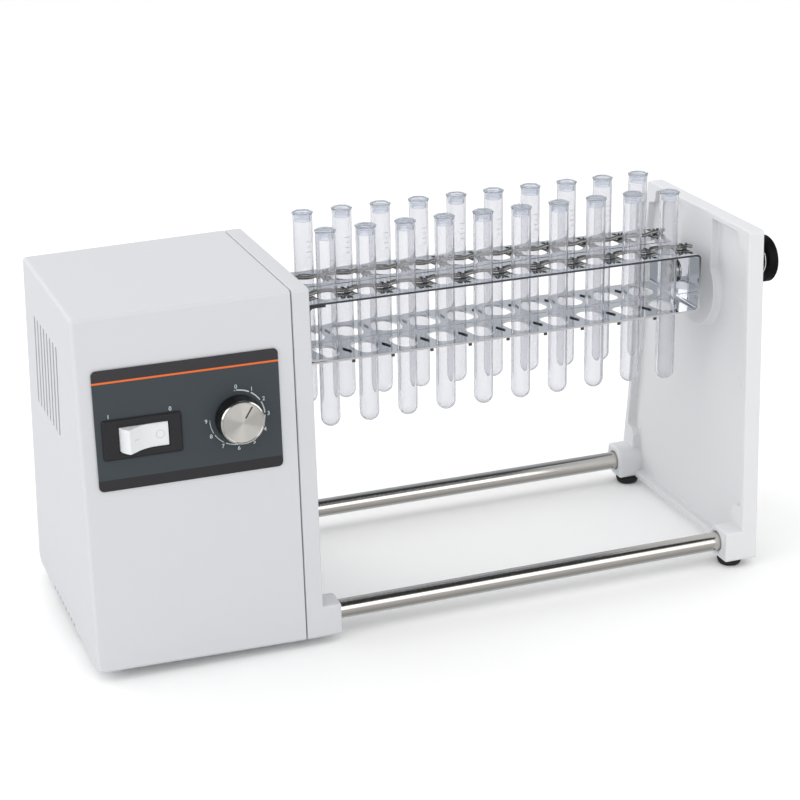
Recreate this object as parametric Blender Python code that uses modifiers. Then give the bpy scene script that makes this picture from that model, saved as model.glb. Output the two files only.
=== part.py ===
"""Overhead shaker: a drive unit and a bearing plate joined by two rods, with a turning
rack between them that tips two rows of test tubes end over end.

Units are metres and +Z is up. Run it with: blender --background --python part.py
Sizes are measured from the lower front left corner of the casings: x runs to the right
along the rack's axis, y to the back and z up. The function at() moves such a place into
the model's frame, whose origin is under the middle of the whole object, on the table.
"""
import math

import bmesh
import bpy
from mathutils import Matrix, Vector

# Overall sizes of the two upright casings
HEIGHT = 0.270
DEPTH = 0.2182
FRONT_LEAN = 0.0099
BACK_LEAN = 0.0385
COVER_LENGTH = 0.1568
COVER_TAPER = 0.0022
COVER_WALL = 0.0025
EDGE_RADIUS = 0.003
SEAM_GAP = 0.001
LEFT_FRAME_END = 0.1711
RIGHT_FRAME_START = 0.5227
RIGHT_FRAME_END = 0.5357
FOOT_HEIGHT = 0.006
FIT_GAP = 0.0003

# Inside of the cast end frames
FRAME_THICKNESS = RIGHT_FRAME_END - RIGHT_FRAME_START
WEB_THICKNESS = 0.0065
RIM_WIDTH = 0.0055
TOP_RIM = 0.0075
BOTTOM_LEDGE = 0.0043
BOSS_PROJECTION = 0.0145
BEARING_BOSS_RADIUS = 0.032
BEARING_BOSS_DROP = 0.0143
RIB_HALF_WIDTH = 0.025
CORNER_POST_RADIUS = 0.0168

# Lip of the left frame, screws of the rods, and the mains inlet on the rear face,
# where u runs to the left end of the cover and v up the face
LIP_LENGTH = 0.006
LIP_WALL = 0.0025
SCREW_RADIUS = 0.003
SCREW_HEAD_RADIUS = 0.0052
SCREW_HEAD_HEIGHT = 0.003
SCREW_LENGTH = 0.016
INLET_U = -0.040
INLET_V = 0.040

# Turning axis, rods and tubes
AXIS_Y = 0.0943
AXIS_Z = 0.2186
ROD_RADIUS = 0.0074
ROD_Y = (0.0174, 0.2035)
ROD_Z = 0.0127
ROD_SOCKET_DEPTH = 0.0215
TUBE_COUNT = 10
TUBE_PITCH = 0.0312
FIRST_TUBE_X = 0.2029
TUBE_OFFSET = 0.0268
TUBE_RADIUS = 0.00745
STOPPER_RADIUS = 0.00805
STOPPER_HEIGHT = 0.006
TUBE_TOP = 0.2941
TUBE_BOTTOM = 0.1408
TUBE_SIDES = 12

# Rack, bent from polished sheet in two strips
SHEET = 0.0015
RACK_HALF_WIDTH = 0.04155
RACK_TOP = 0.2429
RACK_BOTTOM = 0.1963
RACK_LEFT = 0.1840
RACK_RIGHT = 0.5055
RACK_BEND = 0.004
STRIP_SPLIT = 0.0003
HOLE_SMALL_RADIUS = 0.0081
HOLE_LARGE_RADIUS = 0.0101
HOLE_SPREAD = 0.0098
BRACKET_WALL_X = 0.1835
BRACKET_FLANGE_END = 0.197
SPRING_RADIUS = 0.0016
SPRING_WAVE = 0.0028
SPRING_POINTS_PER_TUBE = 6

# Rotor shaft, bearing and the pin that releases the rack
SHAFT_RADIUS = 0.006
SHAFT_START = 0.1225
FLANGE_RADIUS = 0.017
FLANGE_START = 0.1745
BEARING_RADIUS = 0.014
BEARING_START = 0.1600
BEARING_WIDTH = 0.008
BUSH_RADIUS = 0.0087
PIN_RADIUS = 0.0051
PIN_START = 0.5000
PIN_COLLAR_RADIUS = 0.0092
HUB_FLANGE_RADIUS = 0.0095
HUB_RADIUS = 0.0077
HUB_END = 0.5110
HOUSING_RADIUS = 0.014
HOUSING_END = 0.5625
HAND_KNOB_END = 0.5893
HAND_KNOB_RADIUS = 0.0190
HAND_KNOB_DISC = 0.0088
HAND_KNOB_NECK_RADIUS = 0.0123

# Belt drive
MOTOR_Z = 0.085
MOTOR_RADIUS = 0.030
MOTOR_START = 0.040
MOTOR_END = 0.112
MOTOR_SHAFT_RADIUS = 0.003
BELT_START = 0.127
BELT_WIDTH = 0.010
BELT_THICKNESS = 0.0016
TOOTH_PITCH = 0.005
TOOTH_DEPTH = 0.0012
MOTOR_TEETH = 12
ROTOR_TEETH = 36

# Controls, on the front face: u runs to the right, v up the face and w out of it
PANEL_LEFT = 0.0113
PANEL_RIGHT = 0.1453
PANEL_LOW = 0.1420
PANEL_TOP = 0.2290
PANEL_THICKNESS = 0.0010
PANEL_RADIUS = 0.003
SWITCH_U = 0.0453
SWITCH_V = 0.1788
BEZEL_LEFT = 0.0160
BEZEL_RIGHT = 0.0727
BEZEL_HEIGHT_V = 0.0295
BEZEL_PROUD = 0.0026
ROCKER_RADIUS = 0.0179
ROCKER_HALF_WIDTH = 0.0089
ROCKER_PIVOT_W = -0.0007
ROCKER_TIP_DEG = 28.9
ROCKER_FOOT_DEG = -20.0
ROCKER_THROW_DEG = 37.2
ROCKER_CREASE = 0.0033
KNOB_U = 0.1139
KNOB_V = 0.1823
KNOB_RADIUS = 0.0170
KNOB_CAP_RADIUS = 0.0160
KNOB_PROUD = 0.0145
KNOB_CAP_THICKNESS = 0.0012

# Cooling slots of the drive cover
VENT_COUNT = 8
VENT_PITCH = 0.0109
VENT_FIRST_Y = 0.0742
VENT_LOW = 0.159
VENT_HIGH = 0.231
VENT_WIDTH = 0.004
FLOOR_VENT_PITCH = 0.010
FLOOR_VENT_FIRST_Y = 0.081
FLOOR_VENT_LENGTH = 0.060

FRONT_SLOPE = FRONT_LEAN / HEIGHT
BACK_SLOPE = BACK_LEAN / HEIGHT
FRONT_TAPER_SLOPE = COVER_TAPER / COVER_LENGTH
KNOB_FRONT_Y = (
    FRONT_SLOPE * (KNOB_V - KNOB_CAP_RADIUS)
    + COVER_TAPER * (1 - KNOB_U / COVER_LENGTH)
    - KNOB_PROUD
)
# The rounded lower back edge stops a little short of the full depth
BACK_EDGE_TRIM = 0.00042
ORIGIN = Vector((HAND_KNOB_END / 2, (DEPTH - BACK_EDGE_TRIM + KNOB_FRONT_Y) / 2, -FOOT_HEIGHT))


def at(x, y, z):
    """Turn a place measured from the casings' corner into the model's frame."""
    return Vector((x, y, z)) - ORIGIN


# Scene and collections
for leftover in list(bpy.data.objects):
    bpy.data.objects.remove(leftover, do_unlink=True)

part_collection = bpy.data.collections.new("overhead_shaker")
cutter_collection = bpy.data.collections.new("cutters")
bpy.context.scene.collection.children.link(part_collection)
bpy.context.scene.collection.children.link(cutter_collection)


# Materials
def make_material(name, colour, roughness, metallic=0.0):
    """Make a Principled material with one colour."""
    material = bpy.data.materials.new(name)
    material.use_nodes = True
    shader = material.node_tree.nodes["Principled BSDF"]
    shader.inputs["Base Color"].default_value = (*colour, 1.0)
    shader.inputs["Roughness"].default_value = roughness
    shader.inputs["Metallic"].default_value = metallic
    material.diffuse_color = (*colour, 1.0)
    return material


POWDER_COAT = make_material("powder_coat", (0.78, 0.79, 0.81), 0.55)
WHITE_CASTING = make_material("white_casting", (0.82, 0.83, 0.84), 0.45)
STEEL = make_material("brushed_steel", (0.60, 0.59, 0.57), 0.28, 1.0)
POLISHED = make_material("polished_steel", (0.72, 0.73, 0.75), 0.08, 1.0)
SPRING_WIRE = make_material("spring_wire", (0.35, 0.34, 0.32), 0.30, 1.0)
GLASS = make_material("tube_glass", (0.86, 0.89, 0.93), 0.05)
PANEL_FOIL = make_material("panel_foil", (0.045, 0.055, 0.060), 0.45)
BLACK_PLASTIC = make_material("black_plastic", (0.020, 0.020, 0.022), 0.45)
WHITE_PLASTIC = make_material("white_plastic", (0.80, 0.81, 0.82), 0.35)
RUBBER = make_material("foot_rubber", (0.015, 0.015, 0.015), 0.80)
BELT_RUBBER = make_material("belt_rubber", (0.030, 0.030, 0.032), 0.70)
MOTOR_PAINT = make_material("motor_paint", (0.10, 0.10, 0.11), 0.40)
BOARD = make_material("circuit_board", (0.03, 0.16, 0.07), 0.50)
BRONZE = make_material("bearing_bronze", (0.45, 0.30, 0.14), 0.35, 1.0)

# Turns that lay a shape's own Z along a world axis
ALONG_X = (0.0, math.radians(90), 0.0)
YZ_OUTLINE = (math.radians(90), 0.0, math.radians(90))
XZ_OUTLINE = (math.radians(90), 0.0, 0.0)


def dress(item, material, parent=None):
    """Give an object its material, file it with the part and hang it on a parent."""
    item.data.materials.clear()
    item.data.materials.append(material)
    for collection in list(item.users_collection):
        collection.objects.unlink(item)
    part_collection.objects.link(item)
    item.parent = parent
    return item


def make_cutter(item):
    """File an object as a guide that only cuts or joins other pieces."""
    for collection in list(item.users_collection):
        collection.objects.unlink(item)
    cutter_collection.objects.link(item)
    item.hide_render = True
    item.display_type = "WIRE"
    return item


def combine(item, tool, operation="DIFFERENCE"):
    """Cut a tool out of a piece, or join it on, with a Boolean modifier."""
    make_cutter(tool)
    tool.parent = item.parent
    boolean = item.modifiers.new(tool.name, "BOOLEAN")
    boolean.object = tool
    boolean.operation = operation
    boolean.solver = "EXACT"


def smooth(item, angle=35):
    """Shade a round piece smooth and keep its edges sharp."""
    item.data.shade_smooth()
    item.data.set_sharp_from_angle(angle=math.radians(angle))


def block(name, size, centre, turn=(0.0, 0.0, 0.0), bevel=0.0):
    """Make a box from a cube primitive, with its scale applied."""
    bpy.ops.mesh.primitive_cube_add(size=1.0, location=centre, rotation=turn)
    item = bpy.context.object
    item.name = name
    item.data.transform(Matrix.Diagonal((*size, 1.0)))
    if bevel:
        edge = item.modifiers.new("edge", "BEVEL")
        edge.width = bevel
        edge.segments = 2
    return item


def cylinder(name, radius, length, centre, turn=(0.0, 0.0, 0.0), sides=24, bevel=0.0):
    """Make a cylinder whose own Z is its axis."""
    bpy.ops.mesh.primitive_cylinder_add(
        vertices=sides, radius=radius, depth=length, location=centre, rotation=turn
    )
    item = bpy.context.object
    item.name = name
    smooth(item)
    if bevel:
        edge = item.modifiers.new("edge", "BEVEL")
        edge.width = bevel
        edge.segments = 1
        edge.angle_limit = math.radians(40)
    return item


def turned(name, profile, place, turn=ALONG_X, sides=24):
    """Turn a profile about its own Z: pairs of radius and height, down the outer side."""
    mesh = bpy.data.meshes.new(name)
    vertices = [(radius, 0.0, height) for radius, height in profile]
    closed = profile[0][0] > 0 and profile[-1][0] > 0
    edges = [(index, index + 1) for index in range(len(vertices) - 1)]
    if closed:
        edges.append((len(vertices) - 1, 0))
    mesh.from_pydata(vertices, edges, [])
    item = bpy.data.objects.new(name, mesh)
    part_collection.objects.link(item)
    item.location = place
    item.rotation_euler = turn
    screw = item.modifiers.new("turn", "SCREW")
    screw.steps = sides
    screw.render_steps = sides
    screw.use_merge_vertices = True
    screw.merge_threshold = 0.00001
    screw.use_smooth_shade = False
    return item


def arc(centre, radius, start, end, steps):
    """Points on an arc, with its angles in degrees."""
    points = []
    for step in range(steps + 1):
        angle = math.radians(start + (end - start) * step / steps)
        points.append((centre[0] + radius * math.cos(angle), centre[1] + radius * math.sin(angle)))
    return points


def rounded(corners, steps=3):
    """An outline through corners given as (a, b, radius), with arcs at the rounded ones."""
    outline = []
    for index, (a, b, radius) in enumerate(corners):
        corner = Vector((a, b))
        if radius <= 0:
            outline.append((a, b))
            continue
        before = (Vector(corners[index - 1][:2]) - corner).normalized()
        after = (Vector(corners[(index + 1) % len(corners)][:2]) - corner).normalized()
        half_angle = before.angle(after) / 2
        centre = corner + (before + after).normalized() * (radius / math.sin(half_angle))
        start = corner + before * (radius / math.tan(half_angle)) - centre
        end = corner + after * (radius / math.tan(half_angle)) - centre
        sweep = start.angle_signed(end)
        for step in range(steps + 1):
            turn = Matrix.Rotation(-sweep * step / steps, 2)
            outline.append(tuple(centre + turn @ start))
    return outline


def slab(name, outlines, thickness, centre, turn=YZ_OUTLINE):
    """Fill flat outlines, holes included, and thicken them evenly about the centre."""
    curve = bpy.data.curves.new(name, "CURVE")
    curve.dimensions = "2D"
    curve.fill_mode = "BOTH"
    curve.extrude = thickness / 2
    curve.render_resolution_u = 0
    for outline in outlines:
        spline = curve.splines.new("POLY")
        spline.points.add(len(outline) - 1)
        for point, (a, b) in zip(spline.points, outline):
            point.co = (a, b, 0.0, 1.0)
        spline.use_cyclic_u = True
    flat = bpy.data.objects.new(name + "_outline", curve)
    part_collection.objects.link(flat)
    flat.location = centre
    flat.rotation_euler = turn
    return to_mesh(flat, name)


def to_mesh(curve_object, name):
    """Make a curve object a mesh with its caps welded, so that it can be cut."""
    bpy.context.view_layer.update()
    graph = bpy.context.evaluated_depsgraph_get()
    mesh = bpy.data.meshes.new_from_object(curve_object.evaluated_get(graph))
    work = bmesh.new()
    work.from_mesh(mesh)
    bmesh.ops.remove_doubles(work, verts=work.verts, dist=0.00001)
    work.to_mesh(mesh)
    work.free()
    item = bpy.data.objects.new(name, mesh)
    part_collection.objects.link(item)
    item.matrix_world = curve_object.matrix_world.copy()
    bpy.data.objects.remove(curve_object, do_unlink=True)
    return item


def circle(centre, radius, sides=20):
    """A closed ring of points."""
    return arc(centre, radius, 0, 360 - 360 / sides, sides - 1)


def face_frame(name, place, up, outward):
    """An empty on a sloping face: X along it, Y up it and Z out of it."""
    outward = outward.normalized()
    up = up.normalized()
    frame = bpy.data.objects.new(name, None)
    part_collection.objects.link(frame)
    turn = Matrix((up.cross(outward), up, outward)).transposed()
    frame.matrix_world = Matrix.Translation(place) @ turn.to_4x4()
    return frame


# The casings' outline, seen along the axis: y to the back and z up
def front_y(z):
    return FRONT_SLOPE * z


def back_y(z):
    return DEPTH - BACK_SLOPE * z


def casing_outline(inset, radius, low=0.0, high=HEIGHT):
    """The four-sided section that the cover and both frames share, drawn in by an inset."""
    low = low + inset
    high = high - inset
    return rounded([
        (front_y(low) + inset, low, radius),
        (back_y(low) - inset, low, radius),
        (back_y(high) - inset, high, radius),
        (front_y(high) + inset, high, radius),
    ])


def at_outline(outline):
    """Move an outline in y and z into the model's frame."""
    return [(y - ORIGIN.y, z - ORIGIN.z) for y, z in outline]


front_face = face_frame(
    "front_face",
    at(0.0, COVER_TAPER, 0.0),
    Vector((0.0, FRONT_SLOPE, 1.0)),
    Vector((-FRONT_TAPER_SLOPE, -1.0, FRONT_SLOPE)),
)
rear_face = face_frame(
    "rear_face",
    at(0.0, DEPTH - COVER_TAPER, 0.0),
    Vector((0.0, -BACK_SLOPE, 1.0)),
    Vector((-FRONT_TAPER_SLOPE, 1.0, BACK_SLOPE)),
)


# Drive cover: a tapered box of sheet, open towards the left frame
def make_drive_cover():
    work = bmesh.new()
    bmesh.ops.create_cube(work, size=1.0)
    for vertex in work.verts:
        x = COVER_LENGTH if vertex.co.x > 0 else 0.0
        inset = 0.0 if vertex.co.x > 0 else COVER_TAPER
        z = HEIGHT - inset if vertex.co.z > 0 else inset
        y = back_y(z) - inset if vertex.co.y > 0 else front_y(z) + inset
        vertex.co = at(x, y, z)
    seam_x = at(COVER_LENGTH, 0, 0).x
    seam_side = [face for face in work.faces if all(abs(v.co.x - seam_x) < 1e-6 for v in face.verts)]
    bmesh.ops.delete(work, geom=seam_side, context="FACES_ONLY")
    mesh = bpy.data.meshes.new("drive_cover")
    work.to_mesh(mesh)
    work.free()
    cover = bpy.data.objects.new("drive_cover", mesh)
    dress(cover, POWDER_COAT)
    edge = cover.modifiers.new("edge", "BEVEL")
    edge.width = EDGE_RADIUS
    edge.segments = 2
    wall = cover.modifiers.new("wall", "SOLIDIFY")
    wall.thickness = COVER_WALL
    wall.offset = -1.0
    wall.use_even_offset = True

    slots = []
    for index in range(VENT_COUNT):
        y = VENT_FIRST_Y + VENT_PITCH * index
        middle = (VENT_LOW + VENT_HIGH) / 2
        half = (VENT_HIGH - VENT_LOW) / 2
        lean = BACK_SLOPE * half
        radius = VENT_WIDTH / 2
        turn = -math.degrees(math.atan(BACK_SLOPE))
        low_end = (y + lean, middle - half + radius)
        high_end = (y - lean, middle + half - radius)
        slots.append(at_outline(
            arc(low_end, radius, 180 - turn, 360 - turn, 4) + arc(high_end, radius, -turn, 180 - turn, 4)
        ))
    vents = slab("side_vents", slots, 4 * COVER_WALL, (at(0.001, 0, 0).x, 0, 0))
    combine(cover, vents)
    for index in range(VENT_COUNT):
        y = FLOOR_VENT_FIRST_Y + FLOOR_VENT_PITCH * index
        floor_vent = block(
            "floor_vent_%d" % index,
            (FLOOR_VENT_LENGTH, VENT_WIDTH, 0.008),
            at(FLOOR_VENT_LENGTH / 2 - 0.004, y, COVER_TAPER + 0.0006),
        )
        combine(cover, floor_vent)

    switch_hole = block(
        "switch_hole",
        (0.0412, 0.0232, 0.012),
        (SWITCH_U, SWITCH_V, -0.002),
    )
    combine_on_face(cover, switch_hole, front_face)
    knob_hole = cylinder("knob_hole", 0.0052, 0.012, (KNOB_U, KNOB_V, -0.002), sides=16)
    combine_on_face(cover, knob_hole, front_face)
    inlet_hole = block("inlet_hole", (0.0284, 0.0214, 0.014), (INLET_U, INLET_V, -0.002))
    combine_on_face(cover, inlet_hole, rear_face)
    return cover


def combine_on_face(item, tool, face):
    """Cut a tool that is placed in a sloping face's own frame."""
    combine(item, tool)
    tool.parent = face


# End frames: castings with a rim, a recessed web, a bearing boss and two rod bosses
def pocket_outline():
    """The recess inside the rim, which runs round the rib and the bearing boss."""
    top = HEIGHT - TOP_RIM
    post_z = HEIGHT - 0.0035
    front_post = (front_y(post_z) + 0.0167, post_z)
    back_post = (back_y(post_z) - 0.0167, post_z)
    boss_z = AXIS_Z - BEARING_BOSS_DROP
    rib_angle = math.degrees(math.acos(RIB_HALF_WIDTH / BEARING_BOSS_RADIUS))
    lower_front = (0.0205, BOTTOM_LEDGE, 0.003)
    lower_back = (DEPTH - 0.0205, BOTTOM_LEDGE, 0.003)
    step_z = 0.048
    front_side = rounded([
        (AXIS_Y, BOTTOM_LEDGE, 0),
        lower_front,
        (0.0205, step_z, 0.007),
        (front_y(step_z) + RIM_WIDTH, step_z, 0.004),
        (front_y(0.2) + RIM_WIDTH, 0.2, 0),
    ])[1:-1]
    back_side = rounded([
        (back_y(0.2) - RIM_WIDTH, 0.2, 0),
        (back_y(step_z) - RIM_WIDTH, step_z, 0.004),
        (DEPTH - 0.0235, step_z, 0.007),
        lower_back,
        (AXIS_Y, BOTTOM_LEDGE, 0),
    ])[1:-1]
    return (
        front_side
        + arc(front_post, CORNER_POST_RADIUS, 226, 346, 6)
        + [(AXIS_Y - RIB_HALF_WIDTH, top)]
        + arc((AXIS_Y, boss_z), BEARING_BOSS_RADIUS, 180 - rib_angle, 360 + rib_angle, 16)
        + [(AXIS_Y + RIB_HALF_WIDTH, top)]
        + arc(back_post, CORNER_POST_RADIUS, 194, 314, 6)
        + back_side
    )


def make_end_frame(name, outer_x, inward, thickness, bearing_hole):
    """One end casting; inward is +1 where the rack lies to the right of it, else -1."""
    def x_at(depth):
        return at(outer_x + inward * depth, 0, 0).x

    frame = slab(name, [at_outline(casing_outline(0.0, EDGE_RADIUS))], thickness, (x_at(thickness / 2), 0, 0))
    dress(frame, WHITE_CASTING)
    pocket_depth = thickness - WEB_THICKNESS
    pocket = slab(
        name + "_pocket",
        [at_outline(pocket_outline())],
        2 * pocket_depth,
        (x_at(thickness), 0, 0),
    )
    combine(frame, pocket)
    boss_depth = thickness + BOSS_PROJECTION - WEB_THICKNESS / 2
    inner_y = 0.0285
    boss_top = 0.0272
    front_boss = rounded([
        (0.0006, 0.0004, 0),
        (inner_y - 0.0015, 0.0004, 0),
        (inner_y, boss_top, 0.010),
        (0.0028, boss_top, 0.003),
    ])
    back_boss = rounded([
        (DEPTH - inner_y + 0.0015, 0.0004, 0),
        (DEPTH - 0.0012, 0.0004, 0),
        (back_y(boss_top) - 0.0010, boss_top, 0.003),
        (DEPTH - inner_y, boss_top, 0.010),
    ])
    for side, outline in (("front", front_boss), ("back", back_boss)):
        boss = slab(
            "%s_%s_boss" % (name, side),
            [at_outline(outline)],
            boss_depth,
            (x_at(WEB_THICKNESS / 2 + boss_depth / 2), 0, 0),
        )
        combine(frame, boss, "UNION")
    for side, rod_y in zip(("front", "back"), ROD_Y):
        socket = cylinder(
            "%s_%s_socket" % (name, side),
            ROD_RADIUS + FIT_GAP,
            2 * ROD_SOCKET_DEPTH,
            at(outer_x + inward * (thickness + BOSS_PROJECTION), rod_y, ROD_Z),
            ALONG_X,
        )
        combine(frame, socket)
        screw_hole = cylinder(
            "%s_%s_screw_hole" % (name, side),
            SCREW_RADIUS + FIT_GAP,
            2 * thickness,
            at(outer_x + inward * 0.001, rod_y, ROD_Z),
            ALONG_X,
            sides=12,
        )
        combine(frame, screw_hole)
    bore = cylinder(
        name + "_bore",
        bearing_hole + FIT_GAP,
        4 * thickness,
        at(outer_x, AXIS_Y, AXIS_Z),
        ALONG_X,
        sides=28,
    )
    combine(frame, bore)
    return frame


def make_left_frame():
    """The left casting also has a lip that holds the cover's open end."""
    outer_x = COVER_LENGTH + SEAM_GAP
    frame = make_end_frame("left_frame", outer_x, 1, LEFT_FRAME_END - outer_x, BEARING_RADIUS)
    lip_inset = COVER_WALL + 2 * FIT_GAP
    overlap = 0.002
    lip = slab(
        "left_frame_lip",
        [
            at_outline(casing_outline(lip_inset, EDGE_RADIUS)),
            at_outline(casing_outline(lip_inset + LIP_WALL, EDGE_RADIUS)),
        ],
        LIP_LENGTH + overlap,
        (at(outer_x + (overlap - LIP_LENGTH) / 2, 0, 0).x, 0, 0),
    )
    combine(frame, lip, "UNION")
    return frame


# Rods between the end frames, each held by a screw through the right frame
def make_rods():
    start = COVER_LENGTH + SEAM_GAP + FRAME_THICKNESS + BOSS_PROJECTION - ROD_SOCKET_DEPTH + 2 * FIT_GAP
    end = RIGHT_FRAME_START - BOSS_PROJECTION + ROD_SOCKET_DEPTH - 2 * FIT_GAP
    for side, rod_y in zip(("front", "back"), ROD_Y):
        rod = cylinder(
            "rod_" + side,
            ROD_RADIUS,
            end - start,
            at((start + end) / 2, rod_y, ROD_Z),
            ALONG_X,
            bevel=0.0004,
        )
        dress(rod, STEEL)
        tapping = cylinder(
            "rod_%s_tapping" % side,
            SCREW_RADIUS + FIT_GAP,
            0.030,
            at(end, rod_y, ROD_Z),
            ALONG_X,
            sides=12,
        )
        combine(rod, tapping)
        head_x = RIGHT_FRAME_END + FIT_GAP
        screw = turned(
            "rod_screw_" + side,
            [
                (0.0, SCREW_HEAD_HEIGHT),
                (SCREW_HEAD_RADIUS * 0.75, SCREW_HEAD_HEIGHT),
                (SCREW_HEAD_RADIUS, SCREW_HEAD_HEIGHT * 0.6),
                (SCREW_HEAD_RADIUS, 0.0),
                (SCREW_RADIUS, 0.0),
                (SCREW_RADIUS, -SCREW_LENGTH),
                (0.0, -SCREW_LENGTH),
            ],
            at(head_x, rod_y, ROD_Z),
            sides=12,
        )
        dress(screw, STEEL)


# Rubber feet, two under the cover and two under the right frame's rod bosses
def make_feet():
    foot_radius = 0.010
    cover_x = 0.026
    places = {
        "foot_left_front": (cover_x, 0.034),
        "foot_left_back": (cover_x, 0.184),
        "foot_right_front": (0.5187, 0.0135),
        "foot_right_back": (0.5187, 0.1970),
    }
    for name, (x, y) in places.items():
        under = 0.0
        if x == cover_x:
            under = COVER_TAPER * (1 - (x + foot_radius) / COVER_LENGTH)
        top = under - FIT_GAP
        foot = turned(
            name,
            [
                (0.0, top),
                (foot_radius, top),
                (foot_radius, 0.0012 - FOOT_HEIGHT),
                (foot_radius - 0.0010, -FOOT_HEIGHT),
                (0.0, -FOOT_HEIGHT),
            ],
            at(x, y, 0.0),
            turn=(0.0, 0.0, 0.0),
            sides=20,
        )
        dress(foot, RUBBER)


# Control panel, switch and speed knob, all placed in the front face's own frame
def make_controls():
    switch_box = (0.0400, 0.0220)
    panel = slab(
        "control_panel",
        [
            rounded([
                (PANEL_LEFT, PANEL_LOW, PANEL_RADIUS),
                (PANEL_RIGHT, PANEL_LOW, PANEL_RADIUS),
                (PANEL_RIGHT, PANEL_TOP, PANEL_RADIUS),
                (PANEL_LEFT, PANEL_TOP, PANEL_RADIUS),
            ]),
            rectangle(SWITCH_U, SWITCH_V, 0.0412, 0.0232),
            circle((KNOB_U, KNOB_V), 0.0052, 16),
        ],
        PANEL_THICKNESS,
        (0.0, 0.0, FIT_GAP + PANEL_THICKNESS / 2),
        turn=(0.0, 0.0, 0.0),
    )
    dress(panel, PANEL_FOIL, front_face)

    bezel_low = FIT_GAP + PANEL_THICKNESS + FIT_GAP
    bezel_top = PANEL_THICKNESS + BEZEL_PROUD
    half_v = BEZEL_HEIGHT_V / 2
    bezel = slab(
        "switch_bezel",
        [
            rounded([
                (BEZEL_LEFT, SWITCH_V - half_v, 0.0015),
                (BEZEL_RIGHT, SWITCH_V - half_v, 0.0015),
                (BEZEL_RIGHT, SWITCH_V + half_v, 0.0015),
                (BEZEL_LEFT, SWITCH_V + half_v, 0.0015),
            ]),
            rectangle(SWITCH_U, SWITCH_V, 2 * (ROCKER_RADIUS + FIT_GAP), 2 * (ROCKER_HALF_WIDTH + FIT_GAP)),
        ],
        bezel_top - bezel_low,
        (0.0, 0.0, (bezel_top + bezel_low) / 2),
        turn=(0.0, 0.0, 0.0),
    )
    edge = bezel.modifiers.new("edge", "BEVEL")
    edge.width = 0.0005
    edge.segments = 1
    edge.angle_limit = math.radians(60)
    dress(bezel, BLACK_PLASTIC, front_face)

    body_top = bezel_low - FIT_GAP
    body_depth = 0.026
    body = block(
        "switch_body",
        (*switch_box, body_depth),
        (SWITCH_U, SWITCH_V, body_top - body_depth / 2),
    )
    dress(body, BLACK_PLASTIC, front_face)
    well = block(
        "switch_well",
        (2 * (ROCKER_RADIUS + FIT_GAP), 2 * (ROCKER_HALF_WIDTH + FIT_GAP), 0.032),
        (SWITCH_U, SWITCH_V, body_top + 0.0002),
    )
    combine(body, well)

    make_rocker()
    make_speed_knob()


def rectangle(u, v, width, height):
    """A closed rectangle about a middle."""
    return [
        (u - width / 2, v - height / 2),
        (u + width / 2, v - height / 2),
        (u + width / 2, v + height / 2),
        (u - width / 2, v + height / 2),
    ]


def make_rocker():
    """The rocker has round ends about its pivot and a hollow V on top; its 0 side is down."""
    tilt = ROCKER_THROW_DEG / 2
    ends = (
        arc((0, 0), ROCKER_RADIUS, ROCKER_FOOT_DEG, ROCKER_TIP_DEG, 5)
        + [(0.0, ROCKER_CREASE)]
        + arc((0, 0), ROCKER_RADIUS, 180 - ROCKER_TIP_DEG, 180 - ROCKER_FOOT_DEG, 5)
    )
    pivot = bpy.data.objects.new("rocker_pivot", None)
    part_collection.objects.link(pivot)
    pivot.parent = front_face
    pivot.location = (SWITCH_U, SWITCH_V, ROCKER_PIVOT_W)
    pivot.rotation_euler = (0.0, math.radians(tilt), 0.0)
    rocker = slab("power_rocker", [ends], 2 * ROCKER_HALF_WIDTH, (0, 0, 0), turn=XZ_OUTLINE)
    dress(rocker, WHITE_PLASTIC, pivot)


def make_speed_knob():
    """Black knob with a spun steel cap, on the shaft of a potentiometer behind the panel."""
    knob_base = 2 * FIT_GAP + PANEL_THICKNESS
    cap_low = KNOB_PROUD - KNOB_CAP_THICKNESS
    bore = 0.0033
    bore_top = 0.0110
    pivot = bpy.data.objects.new("knob_pivot", None)
    part_collection.objects.link(pivot)
    pivot.parent = front_face
    pivot.location = (KNOB_U, KNOB_V, 0.0)
    straight = (0.0, 0.0, 0.0)
    knob = turned(
        "speed_knob",
        [
            (0.0, cap_low - FIT_GAP),
            (KNOB_CAP_RADIUS, cap_low - FIT_GAP),
            (KNOB_RADIUS, knob_base + 0.0015),
            (KNOB_RADIUS, knob_base),
            (bore, knob_base),
            (bore, bore_top),
            (0.0, bore_top),
        ],
        (0, 0, 0),
        straight,
        sides=32,
    )
    dress(knob, BLACK_PLASTIC, pivot)
    cap = turned(
        "knob_cap",
        [
            (0.0, KNOB_PROUD),
            (KNOB_CAP_RADIUS - 0.0010, KNOB_PROUD),
            (KNOB_CAP_RADIUS, KNOB_PROUD - 0.0008),
            (KNOB_CAP_RADIUS, cap_low),
            (0.0, cap_low),
        ],
        (0, 0, 0),
        straight,
        sides=32,
    )
    dress(cap, STEEL, pivot)
    body_top = -COVER_WALL - FIT_GAP
    body_low = -0.016
    collar = 0.0050
    body = turned(
        "potentiometer_body",
        [
            (collar, 0.0010),
            (collar, body_top),
            (0.0120, body_top),
            (0.0120, body_low),
            (bore, body_low),
            (bore, 0.0010),
        ],
        (KNOB_U, KNOB_V, 0.0),
        straight,
        sides=20,
    )
    dress(body, STEEL, front_face)
    shaft_low = body_low - 0.001
    shaft_top = bore_top - FIT_GAP
    shaft = cylinder(
        "potentiometer_shaft",
        bore - FIT_GAP,
        shaft_top - shaft_low,
        (0, 0, (shaft_top + shaft_low) / 2),
        sides=16,
    )
    dress(shaft, STEEL, pivot)


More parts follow.
